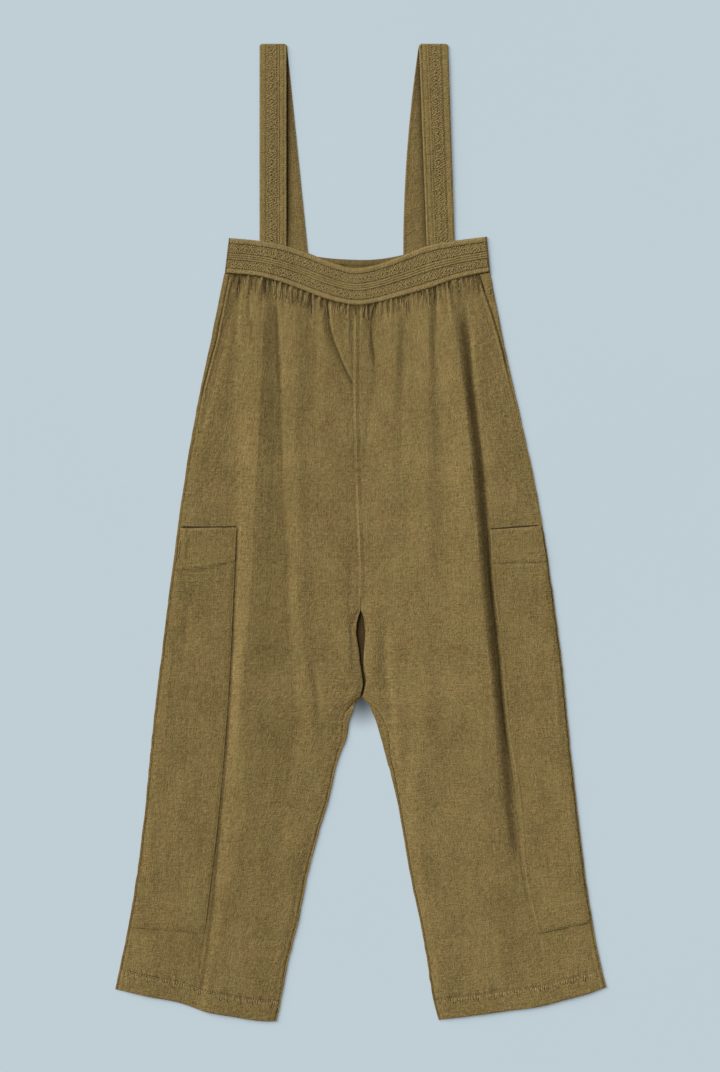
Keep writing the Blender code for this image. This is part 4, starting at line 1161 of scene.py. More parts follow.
def mesh_object(name, points, quads, cloth, tone):
    """A mesh from arrays: points in millimetres, quads, and cloth coordinates and tone for each point."""
    mesh = bpy.data.meshes.new(name)
    mesh.vertices.add(len(points))
    mesh.vertices.foreach_set("co", (points * MM).astype(np.float32).ravel())
    mesh.loops.add(quads.size)
    mesh.loops.foreach_set("vertex_index", quads.astype(np.int32).ravel())
    mesh.polygons.add(len(quads))
    mesh.polygons.foreach_set("loop_start", np.arange(0, quads.size, quads.shape[1], dtype=np.int32))
    mesh.update(calc_edges=True)
    layer = mesh.uv_layers.new(name="cloth")
    layer.data.foreach_set("uv", cloth[quads.ravel()].astype(np.float32).ravel())
    mesh.attributes.new("tone", "FLOAT", "POINT").data.foreach_set("value", tone.astype(np.float32))
    mesh.shade_smooth()
    mesh.set_sharp_from_angle(angle=math.radians(50))
    piece = bpy.data.objects.new(name, mesh)
    bpy.context.scene.collection.objects.link(piece)
    return piece


def shell(name, outer, inner, cloth, tone, outward):
    """
    A closed shell between two grids; outward is 1 if the quads of the outer grid already face out.

    The tone is one value for each point of the grid, or one for the outer and one for the inner layer.
    """
    rows, columns = outer.shape[:2]
    count = rows * columns
    points = np.concatenate([outer.reshape(-1, 3), inner.reshape(-1, 3)])
    faces = grid_quads(rows, columns, 0).reshape(-1, 4)
    under = grid_quads(rows, columns, count).reshape(-1, 4)[:, ::-1]
    rim = rim_numbers(rows, columns)
    after = np.roll(rim, -1)
    walls = np.stack([rim, rim + count, after + count, after], axis=-1)
    quads = np.concatenate([faces, under, walls])
    if outward < 0:
        quads = quads[:, ::-1]
    cloth_twice = np.tile(cloth.reshape(-1, 2), (2, 1))
    tones = tone if tone.ndim == 3 else np.stack([tone, tone], axis=-1)
    return mesh_object(name, points, quads, cloth_twice, tones.reshape(count, 2).T.ravel())


# One stitch: five-sided rings along its length, with the share of the half length and of the radius
STITCH_RINGS = np.array([(-1.0, 0.25), (-0.6, 1.0), (0.6, 1.0), (1.0, 0.25)])
STITCH_SIDES = 5


def stitches(name, middles, directions, length, width, height, material):
    """Many small thread ends, and strokes of painted shade and highlight, as one mesh: each is a short closed tube
    along its direction.
    """
    middles = np.asarray(middles, float)
    directions = np.asarray(directions, float)
    directions = directions / np.linalg.norm(directions, axis=1)[:, None]
    up = np.array([0.0, 0.0, 1.0])
    across = np.cross(directions, up)
    across = across / np.linalg.norm(across, axis=1)[:, None]
    angle = np.linspace(0, 2 * math.pi, STITCH_SIDES, endpoint=False)
    rings, sides = len(STITCH_RINGS), STITCH_SIDES
    along = np.repeat(STITCH_RINGS[:, 0], sides) * 0.5
    radius = np.repeat(STITCH_RINGS[:, 1], sides) * 0.5
    side = np.tile(np.cos(angle), rings) * radius
    rise = np.tile(np.sin(angle), rings) * radius
    length = np.broadcast_to(np.asarray(length, float), len(middles))[:, None]
    points = middles[:, None] + directions[:, None] * (along * length)[..., None]
    width = np.broadcast_to(np.asarray(width, float), len(middles))[:, None]
    points = points + across[:, None] * (side * width)[..., None]
    points = points + up * (rise * height)[None, :, None]
    per_piece = rings * sides
    corner = np.arange(per_piece).reshape(rings, sides)
    following = np.roll(corner, -1, axis=1)
    tube = np.stack([corner[:-1], corner[1:], following[1:], following[:-1]], axis=-1).reshape(-1, 4)
    first, last = corner[0], corner[-1]
    caps = np.array([
        (first[0], first[1], first[2], first[3]), (first[0], first[3], first[4], first[4]),
        (last[3], last[2], last[1], last[0]), (last[4], last[3], last[0], last[0]),
    ])
    quads = np.concatenate([tube, caps])
    start = (np.arange(len(middles)) * per_piece)[:, None, None]
    quads = (quads + start).reshape(-1, 4)
    flat = points.reshape(-1, 3)
    piece = stitch_mesh(name, flat, quads)
    piece.data.materials.append(material)
    return piece


def stitch_mesh(name, points, quads):
    """Quads whose last two corners are the same become triangles."""
    triangle = quads[:, 2] == quads[:, 3]
    mesh = bpy.data.meshes.new(name)
    mesh.vertices.add(len(points))
    mesh.vertices.foreach_set("co", (points * MM).astype(np.float32).ravel())
    sizes = np.where(triangle, 3, 4)
    starts = np.concatenate([[0], np.cumsum(sizes)[:-1]])
    keep = np.ones(quads.shape, bool)
    keep[triangle, 3] = False
    corners = quads[keep]
    mesh.loops.add(len(corners))
    mesh.loops.foreach_set("vertex_index", corners.astype(np.int32))
    mesh.polygons.add(len(quads))
    mesh.polygons.foreach_set("loop_start", starts.astype(np.int32))
    mesh.update(calc_edges=True)
    mesh.shade_smooth()
    piece = bpy.data.objects.new(name, mesh)
    bpy.context.scene.collection.objects.link(piece)
    return piece


def node(tree, kind, inputs=None, **settings):
    """A shader node with its settings and the fixed values or links of its inputs."""
    made = tree.nodes.new(kind)
    for key, value in settings.items():
        setattr(made, key, value)
    for key, value in (inputs or {}).items():
        if isinstance(value, bpy.types.NodeSocket):
            tree.links.new(value, made.inputs[key])
        else:
            made.inputs[key].default_value = value
    return made


def maths(tree, operation, first, second):
    return node(tree, "ShaderNodeMath", {0: first, 1: second}, operation=operation).outputs[0]


def stretched_noise(tree, place, scale, detail, kind="FBM", distortion=0.0):
    """Noise over the cloth, stretched by scale (repeats in a metre across and along)."""
    moved = node(tree, "ShaderNodeVectorMath", {0: place, 1: scale}, operation="MULTIPLY").outputs[0]
    inputs = {"Vector": moved, "Scale": 1.0, "Detail": detail, "Roughness": 0.55, "Distortion": distortion}
    return node(tree, "ShaderNodeTexNoise", inputs, noise_type=kind, noise_dimensions="2D").outputs[0]


def centred(tree, noise, strength):
    """Noise moved to lie round 0, times a strength."""
    return maths(tree, "MULTIPLY", maths(tree, "SUBTRACT", noise, 0.5), strength)


def gauze_group():
    """
    Crinkled gauze: short worm-like crinkles both ways, fine grain, slubs and soft patches.

    Takes cloth coordinates in metres, a tone from -1 to 1 that carries painted shade and highlight,
    a light, a dark and a pit colour (the colour of the deepest painted shade), and the strength of
    the crinkles. Puts out a colour and a height.
    """
    group = bpy.data.node_groups.new("gauze", "ShaderNodeTree")
    face = group.interface
    for name, kind in (
        ("Cloth", "NodeSocketVector"), ("Tone", "NodeSocketFloat"), ("Light", "NodeSocketColor"),
        ("Dark", "NodeSocketColor"), ("Pit", "NodeSocketColor"), ("Crinkle", "NodeSocketFloat"),
    ):
        face.new_socket(name, in_out="INPUT", socket_type=kind)
    face.new_socket("Colour", in_out="OUTPUT", socket_type="NodeSocketColor")
    face.new_socket("Height", in_out="OUTPUT", socket_type="NodeSocketFloat")
    given = group.nodes.new("NodeGroupInput").outputs
    result = group.nodes.new("NodeGroupOutput").inputs
    place = given["Cloth"]
    lying = stretched_noise(group, place, (165.0, 500.0, 1.0), 2.0, distortion=0.8)
    standing = stretched_noise(group, place, (500.0, 145.0, 1.0), 2.0, distortion=0.8)
    worm = stretched_noise(group, place, (300.0, 270.0, 1.0), 1.0, distortion=2.2)
    swirl = stretched_noise(group, place, (62.0, 74.0, 1.0), 1.0, distortion=0.6)
    swirl = maths(group, "SINE", maths(group, "MULTIPLY", swirl, 34.0), 0.0)
    swirl = maths(group, "ADD", maths(group, "MULTIPLY", swirl, 0.5), 0.5)
    grain = stretched_noise(group, place, (1300.0, 1300.0, 1.0), 1.0)
    slub_lying = stretched_noise(group, place, (30.0, 620.0, 1.0), 1.0)
    slub_standing = stretched_noise(group, place, (620.0, 24.0, 1.0), 1.0)
    patch = stretched_noise(group, place, (22.0, 16.0, 1.0), 3.0)
    hue = stretched_noise(group, place, (37.0, 31.0, 1.0), 4.0)
    parts = (
        (lying, 1.55), (standing, 1.5), (worm, 1.1), (swirl, 0.24), (slub_lying, 0.5),
        (slub_standing, 0.55), (grain, 0.4),
    )
    relief = centred(group, *parts[0])
    for noise, strength in parts[1:]:
        relief = maths(group, "ADD", relief, centred(group, noise, strength))
    relief = maths(group, "MULTIPLY", relief, given["Crinkle"])
    # The relief sets the colour too: partly the yarn's own slubs and grain, partly painted light and shade on the
    # crinkles' crests and hollows
    share = maths(group, "ADD", maths(group, "MULTIPLY", relief, 0.62), centred(group, patch, 0.68))
    share = maths(group, "ADD", share, maths(group, "MULTIPLY", given["Tone"], 0.9))
    share = maths(group, "ADD", share, 0.5)
    mixed = node(group, "ShaderNodeMix", {0: share}, data_type="RGBA", clamp_factor=True)
    group.links.new(given["Dark"], mixed.inputs[6])
    group.links.new(given["Light"], mixed.inputs[7])
    warm = node(group, "ShaderNodeMix", {0: hue}, data_type="RGBA", blend_type="MIX")
    warm.inputs[6].default_value = (0.957, 1.017, 0.983, 1.0)
    warm.inputs[7].default_value = (1.05, 0.98, 0.997, 1.0)
    tinted = node(group, "ShaderNodeMix", {0: 1.0}, data_type="RGBA", blend_type="MULTIPLY")
    group.links.new(mixed.outputs[2], tinted.inputs[6])
    group.links.new(warm.outputs[2], tinted.inputs[7])
    # Negative tone mixes in the pit colour: painted shade
    pit_share = maths(group, "MULTIPLY", given["Tone"], -0.75)
    pitted = node(group, "ShaderNodeMix", {0: pit_share}, data_type="RGBA", clamp_factor=True)
    group.links.new(tinted.outputs[2], pitted.inputs[6])
    group.links.new(given["Pit"], pitted.inputs[7])
    group.links.new(pitted.outputs[2], result["Colour"])
    group.links.new(relief, result["Height"])
    return group


# Colour of the deepest painted shade, in the pits under the waistband and in the open slit
PIT_SHADE = (58, 46, 25)


def cloth_material(name, gauze, light, dark, crinkle=1.0, bump=0.55):
    """Matt cotton: the gauze group feeds colour and bump; a weak sheen lights the fuzz."""
    material = bpy.data.materials.new(name)
    material.use_nodes = True
    tree = material.node_tree
    shader = tree.nodes["Principled BSDF"]
    place = node(tree, "ShaderNodeUVMap", uv_map="cloth").outputs[0]
    tone = node(tree, "ShaderNodeAttribute", attribute_name="tone").outputs["Fac"]
    inputs = {
        "Cloth": place, "Tone": tone, "Light": (*linear(*light), 1.0), "Dark": (*linear(*dark), 1.0),
        "Pit": (*linear(*PIT_SHADE), 1.0), "Crinkle": crinkle,
    }
    cloth = tree.nodes.new("ShaderNodeGroup")
    cloth.node_tree = gauze
    for key, value in inputs.items():
        if isinstance(value, bpy.types.NodeSocket):
            tree.links.new(value, cloth.inputs[key])
        else:
            cloth.inputs[key].default_value = value
    bumped = node(tree, "ShaderNodeBump", {"Height": cloth.outputs["Height"], "Strength": bump, "Distance": 0.0009})
    tree.links.new(cloth.outputs["Colour"], shader.inputs["Base Color"])
    tree.links.new(bumped.outputs[0], shader.inputs["Normal"])
    shader.inputs["Roughness"].default_value = 0.92
    shader.inputs["Specular IOR Level"].default_value = 0.15
    shader.inputs["Sheen Weight"].default_value = 0.08
    shader.inputs["Sheen Roughness"].default_value = 0.5
    shader.inputs["Sheen Tint"].default_value = (0.75, 0.6, 0.33, 1.0)
    return material


def thread_material(name, colour):
    """Cotton thread, and the strokes of painted shade and highlight: fine twist lines in object space over a plain
    colour.
    """
    material = bpy.data.materials.new(name)
    material.use_nodes = True
    tree = material.node_tree
    shader = tree.nodes["Principled BSDF"]
    place = node(tree, "ShaderNodeTexCoord").outputs["Object"]
    noise = stretched_noise(tree, place, (700.0, 700.0, 1.0), 2.0)
    ramp = node(tree, "ShaderNodeMix", data_type="RGBA")
    tree.links.new(noise, ramp.inputs[0])
    ramp.inputs[6].default_value = (*[value * 0.75 for value in colour], 1.0)
    ramp.inputs[7].default_value = (*[value * 1.25 for value in colour], 1.0)
    tree.links.new(ramp.outputs[2], shader.inputs["Base Color"])
    shader.inputs["Roughness"].default_value = 0.8
    shader.inputs["Specular IOR Level"].default_value = 0.25
    return material


def linear(red, green, blue):
    """A colour given as 8-bit screen values, as light."""
    return tuple(((value / 255 + 0.055) / 1.055) ** 2.4 for value in (red, green, blue))


def camera_and_light():
    """The camera looks straight down; a soft sun stands at the upper left over a pale surface."""
    scene = bpy.context.scene
    picture_height = 1.072 * 1.4
    lens, sensor = 85.0, 36.0
    data = bpy.data.cameras.new("camera")
    data.lens = lens
    data.sensor_width = sensor
    camera = bpy.data.objects.new("camera", data)
    camera.location = (-0.0015, -0.0049, picture_height * lens / sensor)
    scene.collection.objects.link(camera)
    scene.camera = camera
    sun_data = bpy.data.lights.new("key", "SUN")
    sun_data.energy = 4.9
    sun_data.angle = math.radians(50)
    sun_data.color = (1.0, 0.985, 0.965)
    sun = bpy.data.objects.new("key", sun_data)
    toward = Vector((-0.68, 0.53, 0.50))
    sun.rotation_euler = toward.to_track_quat("Z", "Y").to_euler()
    scene.collection.objects.link(sun)
    world = bpy.data.worlds.new("studio")
    world.use_nodes = True
    background = world.node_tree.nodes["Background"]
    background.inputs["Color"].default_value = (0.97, 0.985, 1.0, 1.0)
    background.inputs["Strength"].default_value = 0.22
    scene.world = world
    scene.view_settings.view_transform = "Standard"


def floor():
    """A pale blue-grey surface with a faint unevenness; a share of its colour glows as painted light, and painted
    shade darkens it round the crotch's point.
    """
    half = 3.0
    mesh = bpy.data.meshes.new("floor")
    low = -0.0004
    corners = [(-half, -half, low), (half, -half, low), (half, half, low), (-half, half, low)]
    mesh.from_pydata(corners, [], [(0, 1, 2, 3)])
    surface = bpy.data.objects.new("floor", mesh)
    bpy.context.scene.collection.objects.link(surface)
    material = bpy.data.materials.new("pale_surface")
    material.use_nodes = True
    tree = material.node_tree
    shader = tree.nodes["Principled BSDF"]
    place = node(tree, "ShaderNodeTexCoord").outputs["Object"]
    noise = stretched_noise(tree, place, (1.3, 1.1, 1.0), 3.0)
    # Painted shade: the floor darkens towards the point below the crotch
    apex = (0.001, (CROTCH_Y - 4) * MM, low)
    away = node(tree, "ShaderNodeVectorMath", {0: place, 1: apex}, operation="DISTANCE").outputs["Value"]
    spread = {0: away, 1: 0.0, 2: 0.05, 3: 0.13, 4: 1.0}
    shade = node(tree, "ShaderNodeMapRange", spread, interpolation_type="SMOOTHSTEP").outputs[0]
    mix = node(tree, "ShaderNodeMix", data_type="RGBA")
    tree.links.new(noise, mix.inputs[0])
    for socket, colour in ((6, linear(190, 205, 215)), (7, linear(194, 208, 216))):
        mix.inputs[socket].default_value = (*[value * (1 - FLOOR_GLOW) for value in colour], 1.0)
    # Painted light: a share of the floor's colour glows, so that the shadows on it stay light
    glow = [value * FLOOR_GLOW for value in linear(191, 206, 214)]
    shaded = node(tree, "ShaderNodeVectorMath", {0: glow, 1: (1.0, 1.0, 1.0)}, operation="MULTIPLY")
    tree.links.new(shade, shaded.inputs[1])
    dimmed = node(tree, "ShaderNodeVectorMath", operation="MULTIPLY")
    tree.links.new(mix.outputs[2], dimmed.inputs[0])
    tree.links.new(shade, dimmed.inputs[1])
    tree.links.new(dimmed.outputs[0], shader.inputs["Base Color"])
    tree.links.new(shaded.outputs[0], shader.inputs["Emission Color"])
    shader.inputs["Emission Strength"].default_value = 1.0
    shader.inputs["Roughness"].default_value = 0.9
    shader.inputs["Specular IOR Level"].default_value = 0.1
    mesh.materials.append(material)


def lay(piece, material, replaced=None):
    """Gives a piece its material, its body and the solid that it stands for."""
    piece.data.materials.append(material)
    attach(piece, "root")
    if replaced:
        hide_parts(replaced)


def flipped(grids):
    """Turns the columns of a right leg's grids round, so that they run towards +X."""
    return tuple(grid[:, ::-1] for grid in grids)


def on_surface(surface, spots):
    """Points in space for an n by 2 array of places on a surface function."""
    return np.stack(surface(spots[:, 0], spots[:, 1]), axis=-1)


def sewn(name, surface, starts, ends, width, height, lift, material):
    """Thread ends, and strokes of painted shade and highlight, from start to end places on a surface, as one joined
    mesh.
    """
    first, last = on_surface(surface, starts), on_surface(surface, ends)
    span = last - first
    length = np.linalg.norm(span, axis=1)
    middle = (first + last) / 2 + [0, 0, lift]
    piece = stitches(name, middle, span, length, width, height, material)
    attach(piece, "root")
    return piece


def lattice(length, middle, half, pitch, seed):
    """
    A row of embroidered diamonds with knots, as start and end places of its thread bars.

    Places run along the row and across it. Each repeat has four sides, two short arms and knots.
    Returns the bars and the middles of the small eyelets between them.
    """
    rng = np.random.default_rng(seed)
    count = int(length / pitch)
    step = length / count
    at = (np.arange(count) + 0.5) * step
    bars = []
    for sx in (-1, 1):
        for sy in (-1, 1):
            bars.append(((sx * 0.40, sy * 0.08), (sx * 0.24, sy * 0.62)))
            bars.append(((sx * 0.22, sy * 0.66), (sx * 0.03, sy * 0.92)))
            bars.append(((sx * 0.36, sy * 0.98), (sx * 0.47, sy * 0.60)))
        bars.append(((sx * 0.16, -0.22), (sx * 0.05, 0.30)))
    bars.append(((-0.5, 0.34), (-0.5, -0.34)))
    starts, ends = [], []
    for start, end in bars:
        for place, kept in ((start, starts), (end, ends)):
            along = at + (place[0] + rng.uniform(-0.07, 0.07, count)) * step
            across = middle + (place[1] + rng.uniform(-0.16, 0.16, count)) * half
            kept.append(np.stack([along, across], axis=-1))
    eyes = []
    for along, across in ((0.25, 0.02), (-0.25, -0.02), (-0.5, 0.82), (-0.5, -0.82)):
        shift = rng.uniform(-0.10, 0.10, (2, count))
        eyes.append(np.stack([at + (along + shift[0]) * step, middle + (across + shift[1]) * half], axis=-1))
    return np.concatenate(starts), np.concatenate(ends), np.concatenate(eyes)


def embroider(name, surface, rows, thread, shadow):
    """Rows of the lattice on a surface, with eyelets between the threads drawn as dark strokes of painted shade."""
    parts = [lattice(*row) for row in rows]
    starts, ends, eyes = (np.concatenate(group) for group in zip(*parts))
    sewn(f"{name}_embroidery", surface, starts, ends, 1.35, 0.9, 0.12, thread)
    reach = np.array([0.95, 0.0])
    sewn(f"{name}_eyelets", surface, eyes - reach, eyes + reach, 1.7, 0.5, 0.05, shadow)


def band_surface(s, v):
    """Place on the front waistband: s millimetres along it and v across it from the top edge."""
    along, across = s / BAND_LENGTH, v / BAND_DEPTH
    x, y = band_place(along, across)
    return x, y, band_height(along, across)


def strap_surface(strap):
    """A function for places on a strap's front run: s up from the band and v from its outer edge."""

    def place(s, v):
        share = v / STRAP_WIDTH
        across = 1 - share if strap.mirrored else share
        up = s / STRAP_RUN
        x, y, z = strap_front(strap, up, across)
        return x, y, z + strap_wall(strap, up, across)

    return place


def strap_back_surface(strap):
    """A function for places on the inner side of a strap's back run, from the fold down."""

    def place(s, v):
        across = v / STRAP_WIDTH
        fold = strap.fold[0] + (strap.fold[1] - strap.fold[0]) * across
        back = strap.back_end[0] + (strap.back_end[1] - strap.back_end[0]) * across
        down = s / STRAP_RUN
        top = STRAP_TOP - STRAP_WALL
        bow = strap.bow * 4 * down * (1 - down)
        return fold + (back - fold) * down + bow, top + (back_top_y(back) - top) * down, STRAP_WALL + 0.15 + 0 * s

    return place


def leg_surface(leg):
    """A function for places on a front leg, given as x and y."""
    return lambda x, y: (x, y, front_top(leg, x, y, x, np.full(np.shape(x), 300.0)))


def pocket_surface(pocket):
    """A function for places on a patch pocket, given as x and y."""
    seed = 81 if pocket.leg == "left" else 91
    return lambda x, y: (x, y, POCKET_TOP + 0.15 + 0.9 * crinkle(x, y, seed))


def stitch_line(spots, pitch, share=0.72):
    """Start and end places of the stitches at a pitch along a line of spots (an n by 2 array)."""
    steps = np.hypot(*np.diff(spots, axis=0).T)
    reach = np.concatenate([[0], np.cumsum(steps)])
    at = np.arange(pitch / 2, reach[-1] - pitch / 2, pitch)
    half = pitch * share / 2
    ends = []
    for way in (-half, half):
        ends.append(np.stack([np.interp(at + way, reach, spots[:, i]) for i in (0, 1)], axis=-1))
    return ends


def sew_lines(name, surface, lines, thread, pitch=3.0, width=0.55, lift=0.1):
    """Runs of stitches along several lines on one surface."""
    starts, ends = zip(*[stitch_line(np.asarray(line, float), pitch) for line in lines])
    sewn(name, surface, np.concatenate(starts), np.concatenate(ends), width, 0.5, lift, thread)


def bar_tack(x, y, length, turn):
    """Start and end places of the short close stitches of a bar tack turned by an angle."""
    count = max(3, int(length / 0.8))
    at = np.linspace(-length / 2, length / 2, count)
    c, s = math.cos(math.radians(turn)), math.sin(math.radians(turn))
    starts = np.stack([x + at * c + 0.9 * s, y + at * s - 0.9 * c], axis=-1)
    ends = np.stack([x + at * c - 0.9 * s, y + at * s + 0.9 * c], axis=-1)
    return starts, ends


def puckered(x, leg, shift):
    """Short uneven strokes that hang from a hem's stitch line, as start and end places: painted shade and highlight
    of the hem's puckers.
    """
    rng = np.random.default_rng(141 if leg == "left" else 142)
    low, high = x.min() + 4, x.max() - 4
    at = np.arange(low, high, 3.6)
    at = at + rng.uniform(-1.1, 1.1, len(at))
    reach = rng.uniform(1.0, 8.5, len(at)) * (rng.uniform(0, 1, len(at)) > 0.25)
    lean = rng.uniform(-0.5, 0.5, len(at))
    top = hem_y[leg](at) + HEM_DEPTH - 0.8
    starts = np.stack([at + shift, top], axis=-1)
    ends = np.stack([at + shift + lean, top - 0.8 - reach], axis=-1)
    return starts, ends


def broken_line(spots, seed, longest):
    """Start and end places of uneven dashes along a line of spots."""
    rng = np.random.default_rng(seed)
    reach = np.concatenate([[0], np.cumsum(np.hypot(*np.diff(spots, axis=0).T))])
    steps = np.cumsum(rng.uniform(0.45, 1.0, int(3 * reach[-1] / longest)) * longest)
    steps = steps[steps < reach[-1] - longest]
    first, last = steps[:-1], steps[1:] - rng.uniform(0.0, 0.5, len(steps) - 1) * np.diff(steps)
    ends = [np.stack([np.interp(at, reach, spots[:, i]) for i in (0, 1)], axis=-1) for at in (first, last)]
    return ends


# Bar tacks on the front: place, length and turn from the X axis in degrees
Tack = namedtuple("Tack", "x y length turn")
TACKS = (
    Tack(-221, 188, 6, 80), Tack(-229, 145, 9, 100), Tack(180, 338, 7, 85), Tack(-324, -577, 6, 5),
    Tack(-330, -620, 6, 5), Tack(0.5, -82, 4, 0),
)
POCKET_TACKS = (Tack(-178, 3.5, 5, 90), Tack(183, 0.5, 5, 90))


def joined(lines):
    """Start and end places of touching short bars along several lines of spots."""
    starts, ends = zip(*[stitch_line(line, 2.4, 1.08) for line in lines])
    return np.concatenate(starts), np.concatenate(ends)


def gather_strokes(leg, seed, count, longest):
    """Start and end places of thin lines of painted shade and highlight along the pressed creases that run down from
    the waist seam.
    """
    rng = np.random.default_rng(seed)
    low = min(gather.x for gather in GATHERS[leg]) + 2
    high = max(gather.x for gather in GATHERS[leg]) - 2
    x = rng.uniform(low, high, count)
    if leg == "left":
        pleats = np.arange(-121, -73, 2.9) + (1.4 if seed > 162 else 0.0)
        x = np.concatenate([x, pleats + rng.uniform(-0.4, 0.4, len(pleats))])
    top = band_bottom_y(x) - GAP - rng.uniform(0.8, 8.0, len(x))
    reach = rng.uniform(4.0, longest, len(x))
    lean = rng.uniform(-0.09, 0.09, len(x)) * reach
    return np.stack([x, top], axis=-1), np.stack([x + lean, top - reach], axis=-1)


def gathered_surface(leg):
    """A function for places on the gathers of a front leg, given as x and y."""
    outer, _ = row_ends(leg, band_bottom_y, lambda y: side_seam_x(leg, y))
    inner, _ = row_ends(leg, band_bottom_y, lambda y: inner_edge_x(leg, y))

    def place(x, y):
        level = y - band_bottom_y(x) + WAIST_CENTRE_Y
        first, last = (np.interp(level, LEVELS[::-1], edge[::-1]) for edge in (outer, inner))
        waist_x = outer[0] + (inner[0] - outer[0]) * (x - first) / (last - first)
        return x, y, front_top(leg, x, y, waist_x, WAIST_CENTRE_Y - GAP - level)

    return place


